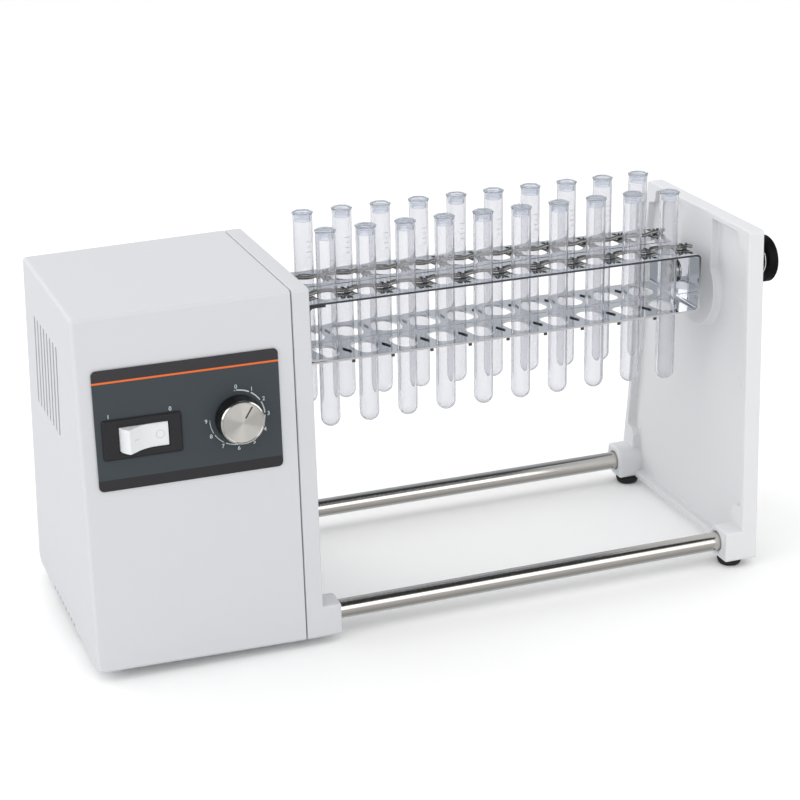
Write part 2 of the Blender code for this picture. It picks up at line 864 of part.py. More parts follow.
# Mains inlet and control board, on the rear wall
def make_rear_fittings():
    flange = (0.0310, 0.0250)
    inlet = block("mains_inlet", (*flange, 0.0020), (INLET_U, INLET_V, FIT_GAP + 0.0010))
    dress(inlet, BLACK_PLASTIC, rear_face)
    body_depth = 0.020
    body = block("inlet_body", (0.0276, 0.0206, body_depth), (INLET_U, INLET_V, 0.0015 - body_depth / 2))
    combine(inlet, body, "UNION")
    socket = block("inlet_socket", (0.0240, 0.0160, 0.032), (INLET_U, INLET_V, 0.0))
    combine(inlet, socket)

    board_thickness = 0.0016
    standoff = 0.010
    board_w = -COVER_WALL - FIT_GAP - standoff
    board_u = -0.068
    board_v = 0.130
    board_size = (0.090, 0.080)
    board = block("control_board", (*board_size, board_thickness), (board_u, board_v, board_w))
    dress(board, BOARD, rear_face)
    for u_side in (-1, 1):
        for v_side in (-1, 1):
            post = cylinder(
                "board_post",
                0.003,
                standoff,
                (
                    board_u + u_side * (board_size[0] / 2 - 0.006),
                    board_v + v_side * (board_size[1] / 2 - 0.006),
                    board_w + standoff / 2,
                ),
                sides=12,
            )
            combine(board, post, "UNION")
    fittings = {
        "board_transformer": ((0.030, 0.026, 0.024), (-0.018, 0.015)),
        "board_heat_sink": ((0.012, 0.034, 0.022), (0.026, 0.010)),
        "board_terminal": ((0.050, 0.010, 0.012), (0.0, -0.028)),
    }
    for name, (size, (u, v)) in fittings.items():
        fitting = block(name, size, (board_u + u, board_v + v, board_w - size[2] / 2))
        combine(board, fitting, "UNION")


# Belt drive inside the cover
def pitch_radius(teeth):
    return teeth * TOOTH_PITCH / (2 * math.pi)


def toothed_outline(teeth):
    """A pulley's outline with straight-sided teeth."""
    tip = pitch_radius(teeth) - 0.0003
    root = tip - TOOTH_DEPTH
    outline = []
    for tooth in range(teeth):
        for share, radius in ((0.05, root), (0.30, root), (0.42, tip), (0.93, tip)):
            angle = 2 * math.pi * (tooth + share) / teeth
            outline.append((radius * math.cos(angle), radius * math.sin(angle)))
    return outline


def belt_outline(extra):
    """A closed loop round both pulleys, at a distance outside their tips."""
    upper = pitch_radius(ROTOR_TEETH) + extra
    lower = pitch_radius(MOTOR_TEETH) + extra
    spread = AXIS_Z - MOTOR_Z
    lean = math.degrees(math.asin((upper - lower) / spread))
    loop = (
        arc((AXIS_Y, AXIS_Z), upper, -lean, 180 + lean, 18)
        + arc((AXIS_Y, MOTOR_Z), lower, 180 + lean, 360 - lean, 12)
    )
    return at_outline(loop)


def make_drive():
    middle = BELT_START + BELT_WIDTH / 2
    belt = slab(
        "drive_belt",
        [belt_outline(FIT_GAP + BELT_THICKNESS), belt_outline(FIT_GAP)],
        BELT_WIDTH,
        (at(middle, 0, 0).x, 0, 0),
    )
    dress(belt, BELT_RUBBER)
    pulley_width = BELT_WIDTH + 0.002
    rotor_pulley = slab(
        "driven_pulley",
        [toothed_outline(ROTOR_TEETH), circle((0, 0), SHAFT_RADIUS + FIT_GAP, 20)],
        pulley_width,
        at(middle, AXIS_Y, AXIS_Z),
    )
    dress(rotor_pulley, BRONZE)
    motor_pulley = slab(
        "motor_pulley",
        [toothed_outline(MOTOR_TEETH), circle((0, 0), MOTOR_SHAFT_RADIUS + FIT_GAP, 16)],
        pulley_width,
        at(middle, AXIS_Y, MOTOR_Z),
    )
    dress(motor_pulley, BRONZE)
    shaft_start = MOTOR_END - 0.010
    shaft_end = BELT_START + BELT_WIDTH + 0.004
    motor_shaft = cylinder(
        "motor_shaft",
        MOTOR_SHAFT_RADIUS,
        shaft_end - shaft_start,
        at((shaft_start + shaft_end) / 2, AXIS_Y, MOTOR_Z),
        ALONG_X,
        sides=16,
    )
    dress(motor_shaft, STEEL)
    length = MOTOR_END - MOTOR_START
    gearbox_radius = MOTOR_RADIUS - 0.004
    shaft_hole = MOTOR_SHAFT_RADIUS + FIT_GAP
    motor = turned(
        "motor_body",
        [
            (shaft_hole, length),
            (gearbox_radius, length),
            (gearbox_radius, length - 0.024),
            (MOTOR_RADIUS, length - 0.024),
            (MOTOR_RADIUS, 0.002),
            (MOTOR_RADIUS - 0.002, 0.0),
            (0.0, 0.0),
            (0.0, length - 0.012),
            (shaft_hole, length - 0.012),
        ],
        at(MOTOR_START, AXIS_Y, MOTOR_Z),
        sides=28,
    )
    dress(motor, MOTOR_PAINT)
    make_motor_bracket()


def make_motor_bracket():
    """A bent sheet bracket that carries the motor from the left frame."""
    sheet = 0.003
    half = MOTOR_RADIUS + 0.004
    foot = 0.014
    wall_x = MOTOR_END + FIT_GAP + sheet
    frame_x = COVER_LENGTH + SEAM_GAP - FIT_GAP
    path = [
        (frame_x, -half - foot),
        (frame_x, -half),
        (wall_x, -half),
        (wall_x, half),
        (frame_x, half),
        (frame_x, half + foot),
    ]
    work = bmesh.new()
    rows = []
    for z in (MOTOR_Z - half + 0.006, MOTOR_Z + half - 0.006):
        rows.append([work.verts.new(at(x, AXIS_Y + y, z)) for x, y in path])
    for index in range(len(path) - 1):
        work.faces.new((rows[0][index], rows[0][index + 1], rows[1][index + 1], rows[1][index]))
    mesh = bpy.data.meshes.new("motor_bracket")
    work.to_mesh(mesh)
    work.free()
    bracket = bpy.data.objects.new("motor_bracket", mesh)
    dress(bracket, STEEL)
    wall = bracket.modifiers.new("wall", "SOLIDIFY")
    wall.thickness = sheet
    wall.offset = -1.0
    wall.use_even_offset = True
    hole = cylinder(
        "bracket_hole",
        MOTOR_SHAFT_RADIUS + 0.003,
        0.020,
        at(MOTOR_END, AXIS_Y, MOTOR_Z),
        ALONG_X,
        sides=16,
    )
    combine(bracket, hole)


# Rotor: shaft with its flange, and the bearing in the left frame
def make_rotor_shaft():
    end = BRACKET_WALL_X - FIT_GAP
    shaft = turned(
        "output_shaft",
        [
            (0.0, end),
            (FLANGE_RADIUS, end),
            (FLANGE_RADIUS, FLANGE_START),
            (SHAFT_RADIUS, FLANGE_START),
            (SHAFT_RADIUS, SHAFT_START),
            (0.0, SHAFT_START),
        ],
        at(0.0, AXIS_Y, AXIS_Z),
        sides=28,
    )
    dress(shaft, STEEL)
    bearing = turned(
        "left_bearing",
        [
            (BEARING_RADIUS, BEARING_START + BEARING_WIDTH),
            (BEARING_RADIUS, BEARING_START),
            (SHAFT_RADIUS + FIT_GAP, BEARING_START),
            (SHAFT_RADIUS + FIT_GAP, BEARING_START + BEARING_WIDTH),
        ],
        at(0.0, AXIS_Y, AXIS_Z),
        sides=28,
    )
    dress(bearing, STEEL)


# Rack: two perforated strips, the bracket on the shaft and the hub for the pin
def tube_x(index):
    return FIRST_TUBE_X + TUBE_PITCH * index


def hole_outline(x, toward_middle):
    """A hole round the tube that widens towards the middle of the rack."""
    tube_y = AXIS_Y - toward_middle * TUBE_OFFSET
    wide_y = tube_y + toward_middle * HOLE_SPREAD
    side = math.degrees(math.asin((HOLE_LARGE_RADIUS - HOLE_SMALL_RADIUS) / HOLE_SPREAD))
    wide_arc = arc((x, wide_y), HOLE_LARGE_RADIUS, -side * toward_middle, 180 + side, 8)
    narrow_arc = arc((x, tube_y), HOLE_SMALL_RADIUS, 180 + side, 360 - side, 7)
    if toward_middle < 0:
        wide_arc = arc((x, wide_y), HOLE_LARGE_RADIUS, 180 - side, 360 + side, 8)
        narrow_arc = arc((x, tube_y), HOLE_SMALL_RADIUS, side, 180 - side, 7)
    return [(px - ORIGIN.x, py - ORIGIN.y) for px, py in wide_arc + narrow_arc]


def make_strip(name, toward_middle):
    """One strip: a long U of sheet with a closed right end, pierced twice for each tube."""
    outer_y = AXIS_Y - toward_middle * RACK_HALF_WIDTH
    inner_y = AXIS_Y - toward_middle * STRIP_SPLIT / 2
    low_y, high_y = sorted((outer_y, inner_y))
    section = rounded([
        (RACK_LEFT, RACK_BOTTOM, 0),
        (RACK_RIGHT, RACK_BOTTOM, RACK_BEND),
        (RACK_RIGHT, RACK_TOP, RACK_BEND),
        (RACK_LEFT, RACK_TOP, 0),
        (RACK_LEFT, RACK_TOP - SHEET, 0),
        (RACK_RIGHT - SHEET, RACK_TOP - SHEET, RACK_BEND - SHEET),
        (RACK_RIGHT - SHEET, RACK_BOTTOM + SHEET, RACK_BEND - SHEET),
        (RACK_LEFT, RACK_BOTTOM + SHEET, 0),
    ])
    section = [(x - ORIGIN.x, z - ORIGIN.z) for x, z in section]
    middle_y = at(0, (low_y + high_y) / 2, 0).y
    strip = slab(name, [section], high_y - low_y, (0, middle_y, 0), turn=XZ_OUTLINE)
    dress(strip, POLISHED)
    holes = slab(
        name + "_holes",
        [hole_outline(tube_x(index), toward_middle) for index in range(TUBE_COUNT)],
        2 * (RACK_TOP - RACK_BOTTOM),
        (0, 0, at(0, 0, (RACK_TOP + RACK_BOTTOM) / 2).z),
        turn=(0.0, 0.0, 0.0),
    )
    combine(strip, holes)
    hub_hole = cylinder(
        name + "_hub_hole",
        HUB_RADIUS + FIT_GAP,
        0.020,
        at(RACK_RIGHT, AXIS_Y, AXIS_Z),
        ALONG_X,
    )
    combine(strip, hub_hole)


def make_rack():
    make_strip("rack_strip_front", 1)
    make_strip("rack_strip_back", -1)

    top = RACK_TOP - SHEET - FIT_GAP
    bottom = RACK_BOTTOM + SHEET + FIT_GAP
    section = rounded([
        (BRACKET_FLANGE_END, top, 0),
        (BRACKET_WALL_X, top, RACK_BEND),
        (BRACKET_WALL_X, bottom, RACK_BEND),
        (BRACKET_FLANGE_END, bottom, 0),
        (BRACKET_FLANGE_END, bottom + SHEET, 0),
        (BRACKET_WALL_X + SHEET, bottom + SHEET, RACK_BEND - SHEET),
        (BRACKET_WALL_X + SHEET, top - SHEET, RACK_BEND - SHEET),
        (BRACKET_FLANGE_END, top - SHEET, 0),
    ])
    section = [(x - ORIGIN.x, z - ORIGIN.z) for x, z in section]
    bracket = slab(
        "rack_bracket",
        [section],
        2 * RACK_HALF_WIDTH - 0.0006,
        (0, at(0, AXIS_Y, 0).y, 0),
        turn=XZ_OUTLINE,
    )
    dress(bracket, POLISHED)
    outlines = [
        hole_outline(tube_x(0), toward_middle)
        for toward_middle in (1, -1)
    ]
    notches = slab(
        "bracket_notches",
        outlines,
        2 * (RACK_TOP - RACK_BOTTOM),
        (0, 0, at(0, 0, (RACK_TOP + RACK_BOTTOM) / 2).z),
        turn=(0.0, 0.0, 0.0),
    )
    combine(bracket, notches)

    inner_wall = RACK_RIGHT - SHEET - FIT_GAP
    hub = turned(
        "rack_hub",
        [
            (HUB_RADIUS, HUB_END),
            (HUB_RADIUS, inner_wall),
            (HUB_FLANGE_RADIUS, inner_wall),
            (HUB_FLANGE_RADIUS, inner_wall - 0.002),
            (PIN_RADIUS + FIT_GAP, inner_wall - 0.002),
            (PIN_RADIUS + FIT_GAP, HUB_END),
        ],
        at(0.0, AXIS_Y, AXIS_Z),
    )
    dress(hub, STEEL)


def make_wave_spring(name, toward_middle):
    """A spring that weaves between the tubes of a row and presses them outwards."""
    tube_y = AXIS_Y - toward_middle * TUBE_OFFSET
    behind_tube = TUBE_RADIUS + SPRING_RADIUS + FIT_GAP
    start = FIRST_TUBE_X - TUBE_PITCH / 2
    end = FIRST_TUBE_X + TUBE_PITCH * (TUBE_COUNT - 0.5)
    count = TUBE_COUNT * SPRING_POINTS_PER_TUBE
    z = RACK_TOP + SPRING_RADIUS + FIT_GAP
    curve = bpy.data.curves.new(name, "CURVE")
    curve.dimensions = "3D"
    curve.bevel_depth = SPRING_RADIUS
    curve.bevel_resolution = 2
    curve.use_fill_caps = True
    curve.render_resolution_u = 0
    spline = curve.splines.new("POLY")
    spline.points.add(count)
    for index, point in enumerate(spline.points):
        x = start + (end - start) * index / count
        wave = math.cos(2 * math.pi * (x - FIRST_TUBE_X) / TUBE_PITCH)
        away = behind_tube - SPRING_WAVE * (1 - wave)
        point.co = (*at(x, tube_y + toward_middle * away, z), 1.0)
    flat = bpy.data.objects.new(name + "_path", curve)
    part_collection.objects.link(flat)
    spring = to_mesh(flat, name)
    dress(spring, SPRING_WIRE)


def make_tubes():
    """Twenty stoppered test tubes in two rows, which all share one mesh."""
    height = TUBE_TOP - TUBE_BOTTOM
    profile = [
        (0.0, height),
        (STOPPER_RADIUS - 0.0008, height),
        (STOPPER_RADIUS, height - 0.0012),
        (STOPPER_RADIUS, height - STOPPER_HEIGHT),
        (TUBE_RADIUS, height - STOPPER_HEIGHT - 0.0008),
        (TUBE_RADIUS, TUBE_RADIUS),
    ]
    for angle in (30, 60):
        radians = math.radians(angle)
        profile.append((TUBE_RADIUS * math.cos(radians), TUBE_RADIUS * (1 - math.sin(radians))))
    profile.append((0.0, 0.0))
    first = None
    for row, toward_middle in (("front", 1), ("back", -1)):
        for index in range(TUBE_COUNT):
            name = "tube_%s_%02d" % (row, index + 1)
            place = at(tube_x(index), AXIS_Y - toward_middle * TUBE_OFFSET, TUBE_BOTTOM)
            tube = turned(name, profile, place, turn=(0.0, 0.0, 0.0), sides=TUBE_SIDES)
            if first is None:
                first = dress(tube, GLASS)
                continue
            tube.data = first.data
            dress(tube, GLASS)


# Release pin with its bush, spring, housing and hand knob, in and on the right frame
def make_release():
    bore = PIN_RADIUS + FIT_GAP
    axis_place = at(0.0, AXIS_Y, AXIS_Z)
    bush_end = RIGHT_FRAME_END + 0.0015
    bush = turned(
        "right_bush",
        [
            (BUSH_RADIUS, bush_end),
            (BUSH_RADIUS, RIGHT_FRAME_START + 0.0005),
            (bore, RIGHT_FRAME_START + 0.0005),
            (bore, bush_end),
        ],
        axis_place,
    )
    dress(bush, BLACK_PLASTIC)
    collar_start = bush_end + 0.0005
    collar_end = collar_start + 0.0025
    pin_end = HAND_KNOB_END - 0.0070
    pin = turned(
        "bearing_pin",
        [
            (0.0, pin_end),
            (PIN_RADIUS, pin_end),
            (PIN_RADIUS, collar_end),
            (PIN_COLLAR_RADIUS, collar_end),
            (PIN_COLLAR_RADIUS, collar_start),
            (PIN_RADIUS, collar_start),
            (PIN_RADIUS, PIN_START + 0.0010),
            (PIN_RADIUS - 0.0010, PIN_START),
            (0.0, PIN_START),
        ],
        axis_place,
    )
    dress(pin, STEEL)
    housing_wall = 0.0022
    housing_start = RIGHT_FRAME_END + FIT_GAP
    spring_room = PIN_COLLAR_RADIUS + 0.0008
    housing = turned(
        "pin_housing",
        [
            (HOUSING_RADIUS - 0.0010, HOUSING_END),
            (HOUSING_RADIUS, HOUSING_END - 0.0010),
            (HOUSING_RADIUS, housing_start),
            (spring_room, housing_start),
            (spring_room, HOUSING_END - housing_wall),
            (bore, HOUSING_END - housing_wall),
            (bore, HOUSING_END),
        ],
        axis_place,
    )
    dress(housing, BLACK_PLASTIC)
    spring = turned(
        "pin_spring",
        [
            (PIN_COLLAR_RADIUS, HOUSING_END - housing_wall - FIT_GAP),
            (PIN_COLLAR_RADIUS, collar_end + FIT_GAP),
            (PIN_COLLAR_RADIUS - 0.0016, collar_end + FIT_GAP),
            (PIN_COLLAR_RADIUS - 0.0016, HOUSING_END - housing_wall - FIT_GAP),
        ],
        axis_place,
    )
    dress(spring, SPRING_WIRE)
    disc_start = HAND_KNOB_END - HAND_KNOB_DISC
    chamfer = 0.0012
    knob = turned(
        "hand_knob",
        [
            (0.0, HAND_KNOB_END),
            (HAND_KNOB_RADIUS - chamfer, HAND_KNOB_END),
            (HAND_KNOB_RADIUS, HAND_KNOB_END - chamfer),
            (HAND_KNOB_RADIUS, disc_start + 0.0006),
            (HAND_KNOB_RADIUS - 0.0006, disc_start),
            (HAND_KNOB_NECK_RADIUS, disc_start),
            (HAND_KNOB_NECK_RADIUS, HOUSING_END + 0.001),
            (bore, HOUSING_END + 0.001),
            (bore, pin_end + FIT_GAP),
            (0.0, pin_end + FIT_GAP),
        ],
        axis_place,
        sides=32,
    )
    dress(knob, BLACK_PLASTIC)


make_drive_cover()
make_left_frame()
make_end_frame("right_frame", RIGHT_FRAME_END, -1, FRAME_THICKNESS, BUSH_RADIUS)
make_rods()
make_feet()
make_controls()
make_rear_fittings()
make_drive()
make_rotor_shaft()
make_rack()
make_wave_spring("wave_spring_front", 1)
make_wave_spring("wave_spring_back", -1)
make_tubes()
make_release()
bpy.context.view_layer.update()
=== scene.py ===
# %% [markdown]
# # Overhead shaker for test tubes
# The real instrument is a drive unit and a bearing plate, two cast end frames joined by
# two round rods. A rack of polished sheet turns between them and tips twenty stoppered
# tubes end over end. The solids of the part are loaded as a fixed frame, and every shape
# below is laid over them in the same place, in millimetres first and in metres at the end.

# %% Load the frame
import math

import bmesh
import bpy
import numpy as np
from mathutils import Matrix, Vector
from mathutils.geometry import tessellate_polygon


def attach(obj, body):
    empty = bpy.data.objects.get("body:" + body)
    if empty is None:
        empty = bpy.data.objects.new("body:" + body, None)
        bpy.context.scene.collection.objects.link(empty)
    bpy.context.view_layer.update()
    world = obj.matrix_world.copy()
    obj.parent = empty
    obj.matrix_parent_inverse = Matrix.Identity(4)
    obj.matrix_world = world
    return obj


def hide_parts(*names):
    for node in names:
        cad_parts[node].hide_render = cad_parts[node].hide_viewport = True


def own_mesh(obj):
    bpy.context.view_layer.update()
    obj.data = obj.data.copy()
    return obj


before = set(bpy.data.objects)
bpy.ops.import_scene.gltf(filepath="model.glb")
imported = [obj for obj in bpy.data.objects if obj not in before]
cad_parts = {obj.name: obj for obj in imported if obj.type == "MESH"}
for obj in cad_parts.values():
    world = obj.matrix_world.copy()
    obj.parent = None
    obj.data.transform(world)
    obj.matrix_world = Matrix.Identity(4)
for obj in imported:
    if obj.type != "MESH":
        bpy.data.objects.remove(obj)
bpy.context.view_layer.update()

# %% [markdown]
# ## Camera
# A product photograph like this one is taken with a long lens from a little above and to
# the left. The camera's place, turn and focal length were solved from the straight edges
# of the casings, so the matrix is written out instead of being aimed at a target.

# %% Set up the camera
CAMERA_PLACE = Vector((-0.55235, -1.43809, 0.71830))
CAMERA_AZIMUTH = math.radians(-20.243)
CAMERA_ELEVATION = math.radians(20.541)
CAMERA_ROLL = -0.0180
CAMERA_LENS = 94.238
SENSOR_WIDTH = 36.0

right = Vector((math.cos(CAMERA_AZIMUTH), math.sin(CAMERA_AZIMUTH), 0.0))
ahead = Vector((
    -math.sin(CAMERA_AZIMUTH) * math.cos(CAMERA_ELEVATION),
    math.cos(CAMERA_AZIMUTH) * math.cos(CAMERA_ELEVATION),
    -math.sin(CAMERA_ELEVATION),
))
above = right.cross(ahead)
rolled_right = math.cos(CAMERA_ROLL) * right + math.sin(CAMERA_ROLL) * above
rolled_above = math.cos(CAMERA_ROLL) * above - math.sin(CAMERA_ROLL) * right
camera_data = bpy.data.cameras.new("camera")
camera_data.lens = CAMERA_LENS
camera_data.sensor_width = SENSOR_WIDTH
camera = bpy.data.objects.new("camera", camera_data)
camera.matrix_world = Matrix.Translation(CAMERA_PLACE) @ Matrix(
    (rolled_right, rolled_above, -ahead)
).transposed().to_4x4()
bpy.context.scene.collection.objects.link(camera)
bpy.context.scene.camera = camera
bpy.context.scene.view_settings.view_transform = "Standard"
print("camera at", [round(v, 3) for v in camera.location])

# %% [markdown]
# ## Places and planes
# Sizes on such a casing are easiest to read from its lower front left corner, in
# millimetres: x along the turning axis, y to the back, z up. The front and the rear of the
# drive cover lean and taper, so the controls are placed in planes of their own.

# %% Units, origin and sloping planes
ORIGIN = np.array([294.65, 104.98981, -6.0])
HEIGHT, DEPTH = 270.0, 218.2
FRONT_SLOPE, BACK_SLOPE = 9.9 / HEIGHT, 38.5 / HEIGHT
COVER_LENGTH, COVER_TAPER = 156.8, 2.2
TAPER_SLOPE = COVER_TAPER / COVER_LENGTH
SWITCH, SWITCH_OPENING = (45.3, 178.8), (41.2, 23.2)
KNOB, SHAFT_HOLE = (113.9, 182.3), 5.2
INLET, INLET_OPENING = (-40.0, 40.0), (28.4, 21.4)


def unit(vector):
    """The vector at length one."""
    return np.asarray(vector, float) / np.linalg.norm(vector)


def plane(start, up, out):
    """A flat place to build on: a start point and three directions, across, up and out."""
    up, out = unit(up), unit(out)
    return np.asarray(start, float), np.cross(up, out), up, out


def across_axis(x, direction=1):
    """The plane through x that faces along the turning axis: a is y, b is z, h runs along x."""
    return np.array([x, 0.0, 0.0]), np.array([0, 1, 0]), np.array([0, 0, 1]), np.array([direction, 0, 0])


def level(z):
    """A level plane at height z: a is x, b is y, h runs up."""
    return np.array([0.0, 0.0, z]), np.array([1, 0, 0]), np.array([0, 1, 0]), np.array([0, 0, 1])


def lay(on, a, b, h):
    """Start point plus a times across, b times up and h times out, for whole arrays."""
    start, across, up, out = on
    a, b, h = np.broadcast_arrays(np.asarray(a, float), b, h)
    return start + a[..., None] * across + b[..., None] * up + h[..., None] * out


FRONT = plane((0, COVER_TAPER, 0), (0, FRONT_SLOPE, 1), (-TAPER_SLOPE, -1, FRONT_SLOPE))
REAR = plane((0, DEPTH - COVER_TAPER, 0), (0, -BACK_SLOPE, 1), (-TAPER_SLOPE, 1, BACK_SLOPE))
print("front plane leans", round(math.degrees(math.atan(FRONT_SLOPE)), 2), "degrees")

# %% [markdown]
# ## Surfaces on a grid
# Nearly every part of this machine is either turned on a lathe, cut from a plate or bent
# from sheet. Each of those is a surface of two parameters: angle and profile, outline and
# edge profile, or length and width. The helpers below work the points out as whole
# arrays and return a pair of corner points and faces.

# %% Grids, outlines and closed shells
def grid(points, loop_rows=False, loop_columns=False):
    """Four-sided faces between neighbours of an array of points with rows and columns."""
    rows, columns = points.shape[:2]
    index = np.arange(rows * columns).reshape(rows, columns)
    if loop_rows:
        index = np.concatenate([index, index[:1]])
    if loop_columns:
        index = np.concatenate([index, index[:, :1]], 1)
    corners = [index[:-1, :-1], index[:-1, 1:], index[1:, 1:], index[1:, :-1]]
    return points.reshape(-1, 3), np.stack(corners, -1).reshape(-1, 4).tolist()


def turned(profile, centre, axis=(1, 0, 0), sides=64):
    """A lathe surface: each (radius, height) of the profile goes round the axis in a circle."""
    axis = unit(axis)
    first = unit(np.cross(axis, (0.3, 0.2, 1.0) if abs(axis[2]) < 0.9 else (1.0, 0.3, 0.0)))
    second = np.cross(axis, first)
    radius, height = np.asarray(profile, float).T[:, :, None]
    angle = np.linspace(0, 2 * math.pi, sides, endpoint=False)
    ring = np.cos(angle)[:, None] * first + np.sin(angle)[:, None] * second
    points = np.asarray(centre, float) + radius[..., None] * ring + height[..., None] * axis
    closed = profile[0][0] > 0 and profile[-1][0] > 0
    return grid(points, loop_rows=closed, loop_columns=True)


def arc(centre, radius, start, end, steps=12):
    """Points on a circle between two angles in degrees."""
    angle = np.radians(np.linspace(start, end, steps + 1))
    return np.stack([centre[0] + radius * np.cos(angle), centre[1] + radius * np.sin(angle)], 1)


def circle(centre, radius, sides=48):
    """A closed ring of points."""
    return arc(centre, radius, 0, 360 - 360 / sides, sides - 1)


def rounded(corners, steps=6, closed=True):
    """An outline through corners (a, b, radius): a round one becomes an arc that touches both sides."""
    places = np.array([corner[:2] for corner in corners], float)
    pieces = []
    for number, (a, b, radius) in enumerate(corners):
        here = places[number]
        ends = not closed and number in (0, len(corners) - 1)
        if radius <= 0 or ends:
            pieces.append(here[None])
            continue
        before = unit(places[number - 1] - here)
        after = unit(places[(number + 1) % len(corners)] - here)
        half = math.acos(np.clip(before @ after, -1, 1)) / 2
        middle = here + unit(before + after) * radius / math.sin(half)
        start = here + before * radius / math.tan(half) - middle
        end = here + after * radius / math.tan(half) - middle
        share = np.linspace(0, 1, steps + 1)[:, None]
        sweep = math.pi - 2 * half
        swing = np.sin((1 - share) * sweep) * start + np.sin(share * sweep) * end
        pieces.append(middle + swing / math.sin(sweep))
    return np.concatenate(pieces)


def rectangle(a, b, width, height, radius=0.0):
    """A rectangle about a middle, with round corners."""
    return rounded([
        (a - width / 2, b - height / 2, radius),
        (a + width / 2, b - height / 2, radius),
        (a + width / 2, b + height / 2, radius),
        (a - width / 2, b + height / 2, radius),
    ])


def shrink(outline, inset):
    """Each corner slides along the bisector of its sides until both sides have moved in by the inset."""
    along = np.roll(outline, -1, 0) - outline
    along = along / np.linalg.norm(along, axis=1)[:, None]
    onward = np.roll(outline, -1, 0)
    area = np.sum(outline[:, 0] * onward[:, 1] - onward[:, 0] * outline[:, 1])
    normal = np.sign(area) * np.stack([-along[:, 1], along[:, 0]], 1)
    before = np.roll(normal, 1, 0)
    return outline + inset * (normal + before) / (1 + np.sum(normal * before, 1))[:, None]


def wall(on, rings):
    """A wall round an outline: rings are (outline, height) with the same number of corners."""
    points = np.stack([lay(on, ring[:, 0], ring[:, 1], height) for ring, height in rings])
    return grid(points, loop_columns=True)


def flat(on, height, outlines):
    """A flat face inside the first outline and outside the others."""
    corners = np.concatenate(outlines)
    loops = [[Vector((a, b, 0.0)) for a, b in outline] for outline in outlines]
    return lay(on, corners[:, 0], corners[:, 1], height), [list(t) for t in tessellate_polygon(loops)]


def edge_steps(edge, low, high, steps=4):
    """Insets and heights of a wall whose two edges are quarter circles."""
    if edge <= 0:
        return [(0.0, low), (0.0, high)]
    angle = np.linspace(0, math.pi / 2, steps + 1)
    first = [(edge * (1 - math.sin(t)), low + edge * (1 - math.cos(t))) for t in angle]
    return first + [(inset, low + high - height) for inset, height in reversed(first)]


def slab(on, outlines, low, high, edge=0.4):
    """A plate with holes and rounded edges: a wall along every outline and a flat face at both ends."""
    shells = []
    faces_low, faces_high = [], []
    for number, outline in enumerate(outlines):
        sign = 1 if number == 0 else -1
        rings = [(shrink(outline, sign * inset), height) for inset, height in edge_steps(edge, low, high)]
        shells.append(wall(on, rings))
        faces_low.append(rings[0][0])
        faces_high.append(rings[-1][0])
    return shells + [flat(on, low, faces_low), flat(on, high, faces_high)]


def strand(path, radius, reference, sides=8):
    """A wire: a circle carried along a path, square to it, with its ends closed to a point."""
    along = np.gradient(path, axis=0)
    along = along / np.linalg.norm(along, axis=1)[:, None]
    side = reference - along * np.sum(reference * along, 1)[:, None]
    side = side / np.linalg.norm(side, axis=1)[:, None]
    other = np.cross(along, side)
    angle = np.linspace(0, 2 * math.pi, sides, endpoint=False)[None, :, None]
    ring = np.cos(angle) * side[:, None] + np.sin(angle) * other[:, None]
    points = path[:, None] + radius * ring
    tips = [np.repeat(path[end][None, None], sides, 1) for end in (0, -1)]
    return grid(np.concatenate([tips[0], points, tips[1]]), loop_columns=True)


print("helpers ready: grid, turned, slab and strand")

# %% [markdown]
# ## From points to pieces
# Shells that belong to one piece are joined, welded where they meet and turned so that
# their faces look outwards. Flat faces keep flat shading next to a rounded edge because
# each corner's normal is weighted by the area of its faces.

# %% Build a piece and give it to a body
WELD = 1e-6


def build(name, shells, material, smooth=32, thickness=0.0):
    """Weld the shells, thicken a single sheet inwards, and shade round what is round."""
    counts = np.cumsum([0] + [len(points) for points, _ in shells[:-1]])
    points = np.concatenate([(points - ORIGIN) / 1000 for points, _ in shells])
    faces = [
        [corner + start for corner in face]
        for start, (_, own_faces) in zip(counts, shells) for face in own_faces
    ]
    mesh = bpy.data.meshes.new(name)
    mesh.from_pydata(points.tolist(), [], faces)
    work = bmesh.new()
    work.from_mesh(mesh)
    bmesh.ops.remove_doubles(work, verts=work.verts, dist=WELD)
    bmesh.ops.dissolve_degenerate(work, edges=work.edges, dist=WELD)
    bmesh.ops.recalc_face_normals(work, faces=work.faces)
    work.to_mesh(mesh)
    work.free()
    piece = bpy.data.objects.new(name, mesh)
    bpy.context.scene.collection.objects.link(piece)
    piece.data.materials.append(material)
    if thickness:
        thicken(piece, thickness)
    shade(piece, smooth)
    return piece


def settle(piece):
    """Replace the piece's mesh by what its modifiers make of it."""
    graph = bpy.context.evaluated_depsgraph_get()
    done = bpy.data.meshes.new_from_object(piece.evaluated_get(graph))
    piece.modifiers.clear()
    old = piece.data
    piece.data = done
    done.name = piece.name
    bpy.data.meshes.remove(old)


def thicken(piece, thickness, cut_edge=None):
    """Give a single sheet its thickness inwards; its cut edge may have a finish of its own."""
    sheet = piece.modifiers.new("sheet", "SOLIDIFY")
    sheet.thickness = thickness / 1000
    sheet.offset = -1.0
    sheet.use_even_offset = True
    if cut_edge:
        piece.data.materials.append(cut_edge)
        sheet.material_offset_rim = 1
    settle(piece)


def shade(piece, smooth):
    """Smooth faces that meet at less than the angle, with normals weighted by area."""
    piece.data.shade_smooth()
    piece.data.set_sharp_from_angle(angle=math.radians(smooth))
    weighted = piece.modifiers.new("weighted", "WEIGHTED_NORMAL")
    weighted.keep_sharp = True
    weighted.weight = 100


def fit(piece, body, slot, *nodes):
    """The piece moves with a body and stands for the solids named, which are hidden. The slot is not used."""
    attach(piece, body)
    if nodes:
        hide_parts(*nodes)


print("pieces are welded at", WELD * 1000, "mm")

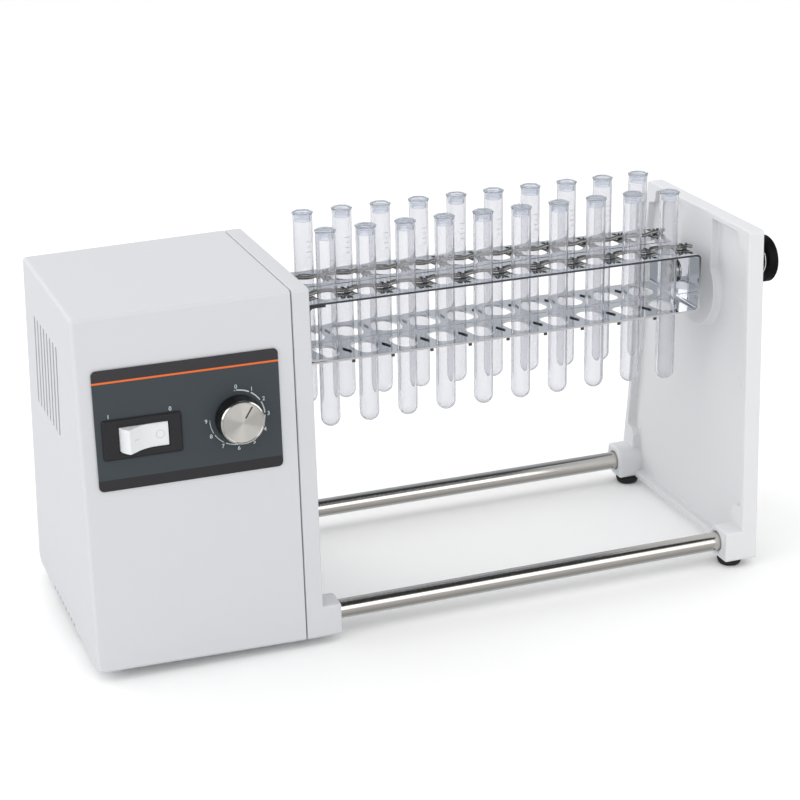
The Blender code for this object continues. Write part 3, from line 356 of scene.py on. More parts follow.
# %% [markdown]
# ## Materials
# Each finish starts from what the real thing is made of. Colours are sRGB hex values of
# the bare material; one function turns them to linear light. Patterns are sized in
# millimetres through the scale of a noise on Object coordinates, which are metres here.

# %% Colour and node helpers
def linear(hex_colour):
    """sRGB hex to linear light: the low end is a straight line and the rest a power curve."""
    value = np.array([int(hex_colour[i:i + 2], 16) for i in (1, 3, 5)]) / 255
    light = np.where(value <= 0.04045, value / 12.92, ((value + 0.055) / 1.055) ** 2.4)
    return (*light.tolist(), 1.0)


def start_material(name, colour, **sockets):
    """A Principled material with constant values on its own sockets."""
    material = bpy.data.materials.new(name)
    material.use_nodes = True
    shader = material.node_tree.nodes["Principled BSDF"]
    shader.inputs["Base Color"].default_value = linear(colour)
    for socket, value in sockets.items():
        shader.inputs[socket.replace("_", " ")].default_value = value
    return material, shader


def add(material, kind, inputs=None, **settings):
    """Add one node: settings are its properties, inputs its sockets, linked or set."""
    node = material.node_tree.nodes.new("ShaderNode" + kind)
    for setting, value in settings.items():
        setattr(node, setting, value)
    for socket, value in (inputs or {}).items():
        if isinstance(value, bpy.types.NodeSocket):
            material.node_tree.links.new(value, node.inputs[socket])
        else:
            node.inputs[socket].default_value = value
    return node


def link(material, output, socket):
    """Join an output to a shader's socket."""
    material.node_tree.links.new(output, socket)


def grain(material, shader, size_mm, depth_mm, stretch=(1, 1, 1), detail=2.0, spread=0.0):
    """A noise of a real size raises the surface and, if asked, varies its roughness a little."""
    place = add(material, "TexCoord")
    scaled = add(material, "Mapping", {"Vector": place.outputs["Object"], "Scale": stretch})
    noise = add(material, "TexNoise", {
        "Vector": scaled.outputs["Vector"], "Scale": 1000 / size_mm, "Detail": detail, "Roughness": 0.55,
    })
    bump = add(material, "Bump", {
        "Height": noise.outputs["Fac"], "Distance": depth_mm / 1000, "Strength": 1.0,
    })
    link(material, bump.outputs["Normal"], shader.inputs["Normal"])
    if spread:
        rough = shader.inputs["Roughness"].default_value
        span = add(material, "MapRange", {
            "Value": noise.outputs["Fac"], "From Min": 0.3, "From Max": 0.7,
            "To Min": rough - spread, "To Max": rough + spread,
        })
        link(material, span.outputs["Result"], shader.inputs["Roughness"])


def plain(name, colour, texture, stretch=(1, 1, 1), detail=2.0, **sockets):
    """A material of one colour; its texture is (size mm, depth mm, spread of the roughness)."""
    material, shader = start_material(name, colour, **sockets)
    size_mm, depth_mm, spread = texture
    grain(material, shader, size_mm, depth_mm, stretch, detail, spread)
    return material


def share_along(material, axis, low, high, output="Object"):
    """How far a point lies between two places on an axis, from 0 to 1."""
    place = add(material, "TexCoord")
    parts = add(material, "SeparateXYZ", {"Vector": place.outputs[output]})
    share = add(material, "MapRange", {"Value": parts.outputs[axis], "From Min": low, "From Max": high})
    return share.outputs["Result"]


MIX_FIRST, MIX_SECOND, MIX_RESULT = 6, 7, 2


def mix(material, factor, first, second):
    """Blend two colours. The colour sockets share their names with others, so numbers find them."""
    inputs = {"Factor": factor, MIX_FIRST: first, MIX_SECOND: second}
    return add(material, "Mix", inputs, data_type="RGBA").outputs[MIX_RESULT]


print("sRGB #808080 is", round(linear("#808080")[0], 3), "in linear light")

# %% [markdown]
# The cover is sheet metal with a polyester powder coat, baked at about 180 degrees. The
# powder flows into a fine orange peel about a millimetre across, which breaks up the
# highlight. The bearing plate wears a smoother wet lacquer of nearly the same white. The
# end frame at the drive is the same white casting; it takes the cover's darker coat as
# painted shade, for the weaker light on that end.

# %% Paints
COVER_COAT_AND_FRAME_SHADE = plain(
    "polyester_powder_coat_light_grey_and_frame_shade", "#CFD0D3", (1.4, 0.012, 0.04), Roughness=0.48, IOR=1.5
)
WHITE_LACQUER = plain("wet_lacquer_on_casting_white", "#DEDFE1", (5.0, 0.02, 0.03), Roughness=0.42, IOR=1.5)
MOTOR_ENAMEL = plain("motor_enamel_dark_grey", "#2B2C2F", (1.5, 0.01, 0.05), Roughness=0.45, IOR=1.5)
print("paints ready")

# %% [markdown]
# Stainless steel is used in three finishes: rods ground to a satin, rack sheet polished to
# a mirror, and drawn spring wire. Grinding leaves scratches round the rod, so its noise is
# squeezed along the rod's length. The polished sheet keeps a very slight waviness, and
# that is what bends the reflections of the tubes. Cut edges are rougher and darker. On
# the rack's cut edges light is painted: they go from light at the lower plate to dark at
# the upper one, by height at rest, because the photograph shows them so.

# %% Metals
SATIN_STEEL = plain(
    "stainless_steel_satin_ground", "#D6D3CE", (3.0, 0.0008, 0.03), stretch=(8, 0.5, 0.5),
    Metallic=1.0, Roughness=0.17
)
MIRROR_STEEL = plain(
    "stainless_steel_mirror_polished", "#DCDDE0", (22.0, 0.022, 0.012), detail=1.0,
    Metallic=1.0, Roughness=0.035
)
TURNED_STEEL = plain(
    "steel_fine_turned", "#BDBCB9", (1.2, 0.003, 0.05), stretch=(3, 1, 1), Metallic=1.0, Roughness=0.22
)
SPRING_WIRE = plain("spring_wire_drawn_bright", "#A6A49E", (0.8, 0.003, 0.06), Metallic=1.0, Roughness=0.20)

CUT_GREY = "#5C5D60"
# Painted shade and reflection: this darkened steel is given to the hooks, which are polished sheet, and to
# the slabs that stand for the lower plate's slits.
PAINTED_DARK_STEEL = plain("stainless_steel_painted_dark", CUT_GREY, (0.6, 0.004, 0.06), Metallic=1.0, Roughness=0.32)

# Painted light: the rack's cut edges are lightened towards the lower plate, by height at rest, and keep the
# darker cut-edge grey at the upper one.
EDGE_LOW_M, EDGE_HIGH_M = 0.206, 0.244
RACK_EDGE_WITH_PAINTED_LIGHT, shader = start_material("stainless_steel_cut_edge_painted_light", CUT_GREY, Metallic=1.0, Roughness=0.30)
rise = share_along(RACK_EDGE_WITH_PAINTED_LIGHT, "Z", EDGE_LOW_M, EDGE_HIGH_M)
link(RACK_EDGE_WITH_PAINTED_LIGHT, mix(RACK_EDGE_WITH_PAINTED_LIGHT, rise, linear("#F0F0F2"), linear(CUT_GREY)), shader.inputs["Base Color"])

ALUMINIUM = plain("aluminium_turned", "#C9CACC", (1.0, 0.003, 0.05), Metallic=1.0, Roughness=0.30)
print("metals ready")

# %% [markdown]
# Plastics and rubber: the bezel, knobs and housings are glass-filled nylon with a spark
# eroded texture of a few tenths of a millimetre. The rocker is polished ABS, and the feet
# are natural rubber with a dull skin.

# %% Plastics and rubber
BLACK_NYLON = plain("nylon_black_spark_eroded", "#0E0E10", (0.7, 0.015, 0.06), Roughness=0.40, IOR=1.53)
KNOB_NYLON = plain(
    "nylon_black_fine_matt", "#0A0A0B", (0.9, 0.03, 0.06), Roughness=0.55, IOR=1.53, Specular_IOR_Level=0.12
)
BEZEL_NYLON = plain(
    "nylon_grey_brown_satin", "#232225", (1.6, 0.03, 0.06), Roughness=0.50, IOR=1.53, Specular_IOR_Level=0.35
)
WHITE_ABS = plain("abs_white_polished", "#E2E4E6", (9.0, 0.01, 0.03), Roughness=0.22, IOR=1.54)
EMBOSSED = plain("abs_embossed_grey", "#C9CBCD", (1.0, 0.004, 0.0), Roughness=0.4, IOR=1.54)
FOOT_RUBBER = plain("natural_rubber_black", "#161616", (0.6, 0.03, 0.08), Roughness=0.75, IOR=1.52)
BELT_RUBBER = plain("neoprene_belt", "#202022", (0.8, 0.02, 0.05), Roughness=0.65, IOR=1.52)
SOLDER_MASK = plain("circuit_board_solder_mask", "#1D5A2E", (3.0, 0.02, 0.06), Roughness=0.35, IOR=1.5)
print("plastics ready")

# %% [markdown]
# The tubes are borosilicate glass: clear, with an index of 1.47. The glass itself absorbs a
# little light for each millimetre, so a tube's edges, where the eye looks along the wall,
# are darker than its middle. The stoppers are clear soft polyethylene with a faint blue.

# %% Glass and stoppers
TUBE_GLASS = plain(
    "borosilicate_glass", "#FCFCFD", (30.0, 0.02, 0.0), detail=1.0,
    Roughness=0.015, IOR=1.47, Transmission_Weight=0.96
)
GLASS_DENSITY, GLASS_ABSORBS = 115.0, (0.0, 0.04, 0.16, 1.0)
absorbing = add(TUBE_GLASS, "VolumeAbsorption", {"Color": GLASS_ABSORBS, "Density": GLASS_DENSITY})
glass_output = TUBE_GLASS.node_tree.nodes["Material Output"]
link(TUBE_GLASS, absorbing.outputs["Volume"], glass_output.inputs["Volume"])

STOPPER_PLASTIC = plain(
    "polyethylene_pale_blue", "#EDF1F8", (6.0, 0.004, 0.03),
    Roughness=0.12, IOR=1.51, Transmission_Weight=0.93
)
GRADUATION = plain("ceramic_print_grey", "#B3B5BB", (1.0, 0.005, 0.0), Roughness=0.6)
print("glass ready")

# %% [markdown]
# The front foil is printed polyester. Its bands are level, so the height alone chooses the
# colour: a dark foot, the slate field, a thin orange line and a dark head.

# %% Printed foil
PANEL_LOW, PANEL_TOP = 141.2, 229.8
BAND_FOOT, BAND_LINE, BAND_HEAD = 149.5, 219.85, 221.15
BAND_COLOURS = ("#2A292C", "#394146", "#E66A1E", "#333236")

PANEL_FOIL, shader = start_material(
    "polyester_foil_printed_slate", "#434A4E", Roughness=0.42, IOR=1.5, Specular_IOR_Level=0.4
)
lean = math.cos(math.atan(FRONT_SLOPE))
low_z, top_z = [(v * lean - ORIGIN[2]) / 1000 for v in (PANEL_LOW, PANEL_TOP)]
bands = add(PANEL_FOIL, "ValToRGB", {"Fac": share_along(PANEL_FOIL, "Z", low_z, top_z)})
bands.color_ramp.interpolation = "CONSTANT"
for v, colour in zip((PANEL_LOW, BAND_FOOT, BAND_LINE, BAND_HEAD), BAND_COLOURS):
    where = (v - PANEL_LOW) / (PANEL_TOP - PANEL_LOW)
    stop = bands.color_ramp.elements.new(where) if v > PANEL_LOW else bands.color_ramp.elements[0]
    stop.color = linear(colour)
bands.color_ramp.elements[-1].color = linear(BAND_COLOURS[-1])
link(PANEL_FOIL, bands.outputs["Color"], shader.inputs["Base Color"])
grain(PANEL_FOIL, shader, size_mm=0.5, depth_mm=0.008, spread=0.04)

PRINT_WHITE = plain("screen_print_pale_grey", "#C3CCD0", (0.5, 0.002, 0.0), Roughness=0.5)
print("foil bands at", [BAND_FOOT, BAND_LINE, BAND_HEAD], "mm up the face")

# %% [markdown]
# The face of the speed knob is spun aluminium. Its grooves run in circles, so the shine
# gathers into two fans. The grooves follow the piece's own map, whose first direction
# goes round the knob, and the anisotropic shine is turned along it.

# %% Spun metal
SPUN_METAL, shader = start_material(
    "aluminium_spun_face", "#E6E4DF", Metallic=1.0, Roughness=0.30, Anisotropic=1.0, Anisotropic_Rotation=0.25
)
tangent = add(SPUN_METAL, "Tangent", direction_type="UV_MAP", uv_map="round")
link(SPUN_METAL, tangent.outputs["Tangent"], shader.inputs["Tangent"])
map_place = add(SPUN_METAL, "UVMap", uv_map="round")
stretched = add(SPUN_METAL, "Mapping", {"Vector": map_place.outputs["UV"], "Scale": (0.2, 1.0, 1.0)})
GROOVES, GROOVE_DEPTH_M = 60.0, 0.000004
grooves = add(SPUN_METAL, "TexNoise", {
    "Vector": stretched.outputs["Vector"], "Scale": GROOVES, "Detail": 1.0,
})
ridge = add(SPUN_METAL, "Bump", {
    "Height": grooves.outputs["Fac"], "Distance": GROOVE_DEPTH_M, "Strength": 1.0,
})
link(SPUN_METAL, ridge.outputs["Normal"], shader.inputs["Normal"])

POLISHED_METAL = plain("aluminium_diamond_cut", "#E4E2DC", (2.0, 0.002, 0.0), Metallic=1.0, Roughness=0.12)
ENGRAVED = plain("engraved_line_dark", "#4A3B33", (0.5, 0.004, 0.0), Roughness=0.6)
print("spun metal ready")

# %% [markdown]
# ## Drive cover
# The real cover is a folded and welded box of sheet that slides over the motor, a little
# narrower at its closed end. Its section is the casings' four-sided outline, carried from
# the closed end to the seam. The slots are then cut through the wall with a Boolean.

# %% Casing section and cover
EDGE_RADIUS, HEEL_RADIUS = 3.0, 10.0
COVER_WALL = 2.5
VENTS = 8


def section(inset, radius):
    """The casings' outline drawn in by an inset, with the same number of corners each time."""
    low, high = inset, HEIGHT - inset
    corners = []
    for z in (low, high):
        front, back = FRONT_SLOPE * z + inset, DEPTH - BACK_SLOPE * z - inset
        foot = HEEL_RADIUS - EDGE_RADIUS if z == low else 0.0
        pair = [(front, z, radius), (back, z, radius + foot)]
        corners += pair if z == low else pair[::-1]
    return rounded(corners)


def taper(x):
    """How far the cover is drawn in at a distance from its closed end."""
    return COVER_TAPER * (1 - x / COVER_LENGTH)


def cut(piece, shells):
    """Cut closed shells out of a piece and keep the result as its mesh."""
    tool = build("tool", shells, ENGRAVED)
    boolean = piece.modifiers.new("cut", "BOOLEAN")
    boolean.object = tool
    boolean.solver = "EXACT"
    settle(piece)
    bpy.data.objects.remove(tool)


quarter = np.linspace(0, math.pi / 2, 7)
outer = [(taper(0) + EDGE_RADIUS * (1 - math.sin(t)), EDGE_RADIUS * (1 - math.cos(t))) for t in quarter]
outer += [(0.05, COVER_LENGTH - 0.6), (0.15, COVER_LENGTH - 0.2), (0.5, COVER_LENGTH)]
inner = [(COVER_WALL, COVER_LENGTH), (COVER_WALL + taper(4), 4.0), (COVER_WALL + taper(0) + 1.5, COVER_WALL)]
rings = [(section(inset, max(EDGE_RADIUS - (inset - taper(x)), 0.5)), x) for inset, x in outer]
rings += [(section(inset, 1.0), x) for inset, x in inner]
ON_AXIS = across_axis(0)
shells = [wall(ON_AXIS, rings)]
shells += [flat(ON_AXIS, height, [outline]) for outline, height in (rings[0], rings[-1])]
cover = build("drive_cover_shell", shells, COVER_COAT_AND_FRAME_SHADE)

VENT_PITCH, VENT_FIRST_Y, VENT_LOW, VENT_HIGH, VENT_HALF = 10.9, 74.2, 159.0, 231.0, 2.0
FLOOR_VENT_PITCH, FLOOR_VENT_FIRST_Y = 10.0, 81.0
tools = []
lean = BACK_SLOPE * (VENT_HIGH - VENT_LOW) / 2
turn = math.degrees(math.atan(BACK_SLOPE))
for number in range(VENTS):
    y = VENT_FIRST_Y + VENT_PITCH * number
    slot_ends = [
        arc((y + lean, VENT_LOW + VENT_HALF), VENT_HALF, 180 + turn, 360 + turn, 10),
        arc((y - lean, VENT_HIGH - VENT_HALF), VENT_HALF, turn, 180 + turn, 10),
    ]
    tools += slab(ON_AXIS, [np.concatenate(slot_ends)], -2.0, 6.0, edge=0)
    floor_y = FLOOR_VENT_FIRST_Y + FLOOR_VENT_PITCH * number
    tools += slab(level(0), [rectangle(26, floor_y, 60, 4, 1.5)], -2.0, 7.5, edge=0)
tools += slab(FRONT, [rectangle(*SWITCH, *SWITCH_OPENING)], -8, 4, edge=0)
tools += slab(FRONT, [circle(KNOB, SHAFT_HOLE)], -8, 4, edge=0)
tools += slab(REAR, [rectangle(*INLET, *INLET_OPENING)], -9, 4, edge=0)
cut(cover, tools)
shade(cover, 32)
fit(cover, "housing", "powder_coat", "drive_cover")
print("cover:", len(cover.data.polygons), "faces,", 2 * VENTS, "slots")

# %% [markdown]
# ## End frames
# Both end frames are aluminium castings from one pattern: a rim, a thin web, a rib that
# carries the bearing, and a boss at each lower corner for a rod. Every edge is rounded by
# the casting and the lacquer, so each wall is an outline carried along a rounded profile.

# %% Frames
FRAME_THICKNESS, WEB, RIM, TOP_RIM, LEDGE = 13.0, 6.5, 5.5, 4.8, 5.8
AXIS_Y, AXIS_Z = 94.3, 218.6
BOSS_PROJECTION, BOSS_Z, RIB_HALF = 14.5, AXIS_Z - 14.3, 25.0
ROD_YS, ROD_Z, ROD_RADIUS = (17.4, 203.5), 12.7, 7.4
LEFT_X, RIGHT_X = COVER_LENGTH + 1.0, 535.7
EJECTOR_MARKS = [(31.7, 203.7), (28.2, 141.0), (24.6, 76.8), (193.8, 78.8)]
EJECTOR_PROFILE = [(0, 0.25), (4.2, 0.25), (4.5, 0.0), (4.5, -1.0), (0, -1.0)]


def pocket():
    """The recess of a frame, which runs round the corner posts, the rib and the bearing boss."""
    top, rib, boss_radius, step_z, post_z = HEIGHT - TOP_RIM, RIB_HALF, 32.0, 43.0, 252.0
    rib_angle = math.degrees(math.acos(rib / boss_radius))
    front_edge = [(FRONT_SLOPE * z + RIM, z) for z in (step_z, 200.0)]
    back_edge = [(DEPTH - BACK_SLOPE * z - RIM, z) for z in (step_z, 200.0)]
    front_side = rounded([
        (AXIS_Y, LEDGE, 0), (20.5, LEDGE, 3), (20.5, step_z, 7), (*front_edge[0], 4), (*front_edge[1], 0),
    ])[1:-1]
    back_side = rounded([
        (*back_edge[1], 0), (*back_edge[0], 4), (DEPTH - 23.5, step_z, 7), (DEPTH - 20.5, LEDGE, 3),
        (AXIS_Y, LEDGE, 0),
    ])[1:-1]
    front_y, back_y = FRONT_SLOPE * post_z, DEPTH - BACK_SLOPE * post_z
    front_post = rounded([
        (*front_edge[1], 0), (front_y + RIM, post_z, 3.5), (front_y + 16.5, post_z + 2.5, 4.5),
        (front_y + 17.5, top, 5), (AXIS_Y - rib, top, 0),
    ])[1:-1]
    back_post = rounded([
        (AXIS_Y + rib, top, 0), (back_y - 17.5, top, 5), (back_y - 16.5, post_z + 2.5, 4.5),
        (back_y - RIM, post_z, 3.5), (*back_edge[1], 0),
    ])[1:-1]
    return np.concatenate([
        front_side,
        front_post,
        [(AXIS_Y - rib, top)],
        arc((AXIS_Y, BOSS_Z), boss_radius, 180 - rib_angle, 360 + rib_angle, 40),
        [(AXIS_Y + rib, top)],
        back_post,
        back_side,
    ])


def end_frame(outer_x, inward, bore):
    """Outer wall, rim face, pocket wall and web of one casting, then its bosses and marks."""
    on = across_axis(outer_x, inward)
    rings = [
        (section(inset, EDGE_RADIUS - inset), height)
        for inset, height in edge_steps(1.2, 0.0, FRAME_THICKNESS, steps=5)
    ]
    hollow = pocket()
    pocket_rings = [
        (shrink(hollow, -0.9 * (1 - math.sin(t))), FRAME_THICKNESS - 0.9 * (1 - math.cos(t))) for t in quarter
    ]
    pocket_rings += [
        (shrink(hollow, 1.2 * (1 - math.cos(t))), WEB + 1.2 * (1 - math.sin(t))) for t in quarter
    ]
    hole = circle((AXIS_Y, AXIS_Z), bore)
    shells = [
        wall(on, rings),
        wall(on, pocket_rings),
        wall(on, [(hole, 0.0), (hole, FRAME_THICKNESS)]),
        flat(on, 0.0, [rings[0][0], hole]),
        flat(on, FRAME_THICKNESS, [rings[-1][0], pocket_rings[0][0], hole]),
        flat(on, WEB, [pocket_rings[-1][0]]),
    ]
    inner_y, boss_top, reach = 28.5, 27.2, FRAME_THICKNESS + BOSS_PROJECTION
    flush, boss_front = 0.06, boss_top - 2.2
    front_top = FRONT_SLOPE * boss_front + flush
    bosses = [
        [(flush, flush, 3), (inner_y, flush, 2.5), (inner_y, boss_top, 12), (front_top, boss_front, 1.5)],
        [(DEPTH - inner_y, flush, 2.5), (DEPTH - flush, flush, HEEL_RADIUS),
         (DEPTH - BACK_SLOPE * boss_front - flush, boss_front, 1.5), (DEPTH - inner_y, boss_top, 12)],
    ]
    for corners, rod_y in zip(bosses, ROD_YS):
        outlines = [rounded(corners, steps=10), circle((rod_y, ROD_Z), ROD_RADIUS + 0.3)]
        shells += slab(on, outlines, 4.0, reach, edge=2.0)
    if inward < 0:
        face, root = FRAME_THICKNESS + flush, WEB - 1.0
        boss_profile = rounded([
            (RIB_HALF, face, 0), (30.6, face, 4.0), (32.4, WEB + 1.5, 1.5), (35.0, WEB - 0.3, 0),
            (35.0, root, 0), (RIB_HALF, root, 0),
        ], closed=False)
        shells.append(turned(boss_profile, lay(on, AXIS_Y, BOSS_Z, 0.0), on[3], 96))
    for y, z in EJECTOR_MARKS:
        shells.append(turned(EJECTOR_PROFILE, lay(on, y, z, WEB), on[3]))
    return shells


BUSH_BORE, SHAFT_BORE = 9.0, 14.3
right_frame = build("bearing_frame_casting", end_frame(RIGHT_X, -1, BUSH_BORE), WHITE_LACQUER)
fit(right_frame, "housing", "white_casting", "right_frame")
lip = slab(across_axis(LEFT_X), [section(3.1, 1.5), section(5.6, 1.0)], -6.0, 2.0, edge=0)
# Painted shade: the drive frame is the same white casting as the bearing plate, drawn in the cover's darker
# coat.
left_frame = build("drive_frame_casting", end_frame(LEFT_X, 1, SHAFT_BORE) + lip, COVER_COAT_AND_FRAME_SHADE)
fit(left_frame, "housing", "white_casting", "left_frame")
print("frames:", len(right_frame.data.polygons), "and", len(left_frame.data.polygons), "faces")

# %% [markdown]
# ## Rods, screws and feet
# The rods are ground bar, chamfered at both ends and pulled against the frames by socket
# screws. All of them are turned parts, so a profile goes round an axis.

# %% Turned parts of the stand
ROD_START, ROD_END = 164.4, 529.1
for side, rod_y in zip(("front", "back"), ROD_YS):
    bar = [(0, ROD_START), (ROD_RADIUS - 0.5, ROD_START), (ROD_RADIUS, ROD_START + 0.5)]
    bar += [(ROD_RADIUS, ROD_END - 0.5), (ROD_RADIUS - 0.5, ROD_END), (0, ROD_END)]
    rod = build("ground_rod_" + side, [turned(bar, (0, rod_y, ROD_Z))], SATIN_STEEL)
    fit(rod, "housing", "brushed_steel", "rod_" + side)
    on = across_axis(RIGHT_X + 0.3)
    head = slab(on, [circle((rod_y, ROD_Z), 5.2), arc((rod_y, ROD_Z), 2.9, 0, 300, 5)], 0.7, 3.0, edge=0.35)
    head += slab(on, [circle((rod_y, ROD_Z), 5.1)], 0.0, 0.9, edge=0)
    stem = [(0, 0.1), (3.0, 0.1), (3.0, -15.5), (2.5, -16.0), (0, -16.0)]
    head.append(turned(stem, (RIGHT_X + 0.3, rod_y, ROD_Z)))
    fit(build("socket_screw_" + side, head, TURNED_STEEL), "housing", "brushed_steel", "rod_screw_" + side)

FOOT_PLACES = {
    "left_front": (26.0, 34.0, 1.2), "left_back": (26.0, 184.0, 1.2),
    "right_front": (518.7, 13.5, -0.3), "right_back": (518.7, 197.0, -0.3),
}
for name, (x, y, top) in FOOT_PLACES.items():
    pad = rounded([
        (0, top, 0), (9.8, top, 0.3), (9.8, -2.2, 1.5), (8.4, -6, 2.0), (6.4, -6, 0.4), (6.0, -5.2, 0.4),
        (0, -5.2, 0),
    ], closed=False)
    foot = build("rubber_foot_" + name, [turned(pad, (x, y, 0), (0, 0, 1))], FOOT_RUBBER)
    fit(foot, "housing", "foot_rubber", "foot_" + name)
print("rods", ROD_END - ROD_START, "mm long, feet", len(FOOT_PLACES))

# %% [markdown]
# ## Control panel
# The foil is a thin plate with a window for the switch and a hole for the knob's shaft.
# Its print is modelled as a film three hundredths of a millimetre thick, so that it stays
# sharp from close by: plain numbers, a scale that grows thinner as the numbers rise, and
# the two marks of the switch.

# %% Foil and print
FOIL_BOTTOM, FOIL_TOP, PRINT = 0.3, 1.3, 0.03
FOIL_LEFT, FOIL_RIGHT = 11.3, 145.3
DIAL, DIAL_RADIUS = (113.3, 182.55), 20.2
foil_middle = ((FOIL_LEFT + FOIL_RIGHT) / 2, (PANEL_LOW + PANEL_TOP) / 2)
foil_outline = rectangle(*foil_middle, FOIL_RIGHT - FOIL_LEFT, PANEL_TOP - PANEL_LOW, 3.6)
openings = [rectangle(*SWITCH, *SWITCH_OPENING), circle(KNOB, SHAFT_HOLE)]
foil = slab(FRONT, [foil_outline, *openings], FOIL_BOTTOM, FOIL_TOP, edge=0.15)
panel = build("front_foil", foil, PANEL_FOIL)
fit(panel, "housing", "panel_foil", "control_panel")


STEP_DEG, GAP_DEG, FIGURE_SIZE, FIGURE_RADIUS = 30.0, 2.2, 4.3, 22.9


def figure(text, u, v):
    """One printed number: a font outline, filled, made a mesh and laid on the foil."""
    curve = bpy.data.curves.new("figure", "FONT")
    curve.body = text
    curve.size = FIGURE_SIZE
    curve.align_x, curve.align_y = "CENTER", "CENTER"
    curve.resolution_u = 3
    curve.offset = 0.05
    letter = bpy.data.objects.new("figure", curve)
    bpy.context.scene.collection.objects.link(letter)
    graph = bpy.context.evaluated_depsgraph_get()
    mesh = bpy.data.meshes.new_from_object(letter.evaluated_get(graph))
    bpy.data.objects.remove(letter)
    points = np.empty(len(mesh.vertices) * 3)
    mesh.vertices.foreach_get("co", points)
    points = points.reshape(-1, 3)
    middle = (points.max(0) + points.min(0)) / 2
    faces = [list(face.vertices) for face in mesh.polygons]
    return lay(FRONT, u + points[:, 0] - middle[0], v + points[:, 1] - middle[1], FOIL_TOP + PRINT), faces


def on_dial(clockwise_deg, radius):
    """Across and up on the foil, for an angle from the dial's top and a distance from its middle."""
    angle = np.radians(90 - clockwise_deg)
    return DIAL[0] + radius * np.cos(angle), DIAL[1] + radius * np.sin(angle)


def scale_segment(start, end, width):
    """A piece of the dial's ring: angle clockwise from the top, and distance from its middle line."""
    reach = DIAL_RADIUS + np.array([-0.5, 0.5]) * width
    return grid(lay(FRONT, *on_dial(np.linspace(start, end, 14)[:, None], reach), FOIL_TOP + PRINT))


film = [figure("1", 21.2, 196.0), figure("0", 65.2, 196.1)]
for number in range(10):
    film.append(figure(str(number), *on_dial(STEP_DEG * number, FIGURE_RADIUS)))
    if number < 9:
        width = 1.0 - 0.07 * number
        start_deg = STEP_DEG * number + (GAP_DEG if number else 0.6)
        film.append(scale_segment(start_deg, STEP_DEG * (number + 1) - GAP_DEG, width))
film.append(scale_segment(-4.0, -2.2, 0.7))
film.append(scale_segment(269.4, 271.0, 0.5))
marks = build("panel_print", film, PRINT_WHITE, thickness=PRINT - 0.005)
fit(marks, "housing", "panel_foil")
print("panel print:", len(marks.data.polygons), "faces")

# %% [markdown]
# ## Switch
# A snap-in rocker switch: a satin bezel with a chamfer all round, and a polished rocker
# that turns about a pin below the surface. Its section is a hollow V between two ridges
# with round ends about the pivot, and that section is carried across the rocker.

# %% Bezel and rocker
bezel_outline = rectangle((16.0 + 72.7) / 2, SWITCH[1], 56.7, 29.5, 1.8)
window = rectangle(*SWITCH, 36.4, 18.4, 0.8)
BEZEL_BOTTOM, BEZEL_TOP, CHAMFER = 1.6, 3.6, 1.3
bezel_steps = [
    (0, BEZEL_BOTTOM), (0, BEZEL_TOP - 1.1), (0.15, BEZEL_TOP - 0.8), (CHAMFER - 0.2, BEZEL_TOP - 0.12),
    (CHAMFER, BEZEL_TOP),
]
window_steps = [(-0.5, BEZEL_TOP), (-0.12, BEZEL_TOP - 0.15), (0, BEZEL_TOP - 0.5), (0, BEZEL_BOTTOM)]
bezel_rings = [(shrink(bezel_outline, inset), height) for inset, height in bezel_steps]
window_rings = [(shrink(window, inset), height) for inset, height in window_steps]
bezel_shells = [
    wall(FRONT, bezel_rings), wall(FRONT, window_rings), flat(FRONT, BEZEL_BOTTOM, [bezel_outline, window]),
    flat(FRONT, BEZEL_TOP, [bezel_rings[-1][0], window_rings[0][0]]),
]
bezel = build("switch_bezel_moulding", bezel_shells, BEZEL_NYLON)
fit(bezel, "housing", "black_plastic", "switch_bezel")

ROCKER_RADIUS, ROCKER_HALF, CREASE = 17.9, 8.9, 3.3
TIP_DEG, FOOT_DEG, THROW_DEG = 28.9, -20.0, 37.2
tip = arc((0, 0), ROCKER_RADIUS, TIP_DEG, TIP_DEG, 1)[0]
far_tip = tip * (-1, 1)
hollow = np.array([0, CREASE])
bend = np.linspace(0, 1, 13)[:, None]
bend_start, bend_end = hollow + 0.42 * (tip - hollow), hollow + 0.42 * (far_tip - hollow)
valley = (1 - bend) ** 2 * bend_start + 2 * bend * (1 - bend) * hollow + bend ** 2 * bend_end
ends = arc((0, 0), ROCKER_RADIUS, FOOT_DEG, TIP_DEG - 2.0, 12)
crown = [tip * 0.993, tip - 0.04 * (tip - hollow)]
one_end = np.concatenate([ends, crown])
rocker_outline = np.concatenate([one_end, valley, np.flip(one_end, 0) * (-1, 1)])
tilt = math.radians(THROW_DEG / 2)
turn_matrix = np.array([[math.cos(tilt), -math.sin(tilt)], [math.sin(tilt), math.cos(tilt)]])
start, across, up, out = FRONT
ON_ROCKER = (lay(FRONT, SWITCH[0], SWITCH[1], -0.7), across, out, up)
shells = slab(ON_ROCKER, [rocker_outline @ turn_matrix], -ROCKER_HALF, ROCKER_HALF, edge=0.55)
rocker = build("rocker_moulding", shells, WHITE_ABS, smooth=28)
fit(rocker, "power_switch", "white_plastic", "power_rocker")
RING_PLACE, RING_INSIDE, RING_OUTSIDE, RING_HEIGHT, RING_RISE = 11.6, 2.6, 3.2, 2.50, 0.12
ring_profile = [(RING_OUTSIDE, 0), (RING_OUTSIDE, RING_RISE), (RING_INSIDE, RING_RISE), (RING_INSIDE, 0)]
ring_place = lay(FRONT, SWITCH[0] + RING_PLACE, SWITCH[1], RING_HEIGHT - 0.06)
dash_place = (far_tip * 0.55 + hollow * 0.45) @ turn_matrix
slope = (far_tip - hollow) @ turn_matrix
slope_out = unit(np.array([slope[1], -slope[0]]))
slope_out = slope_out * np.sign(slope_out[1])
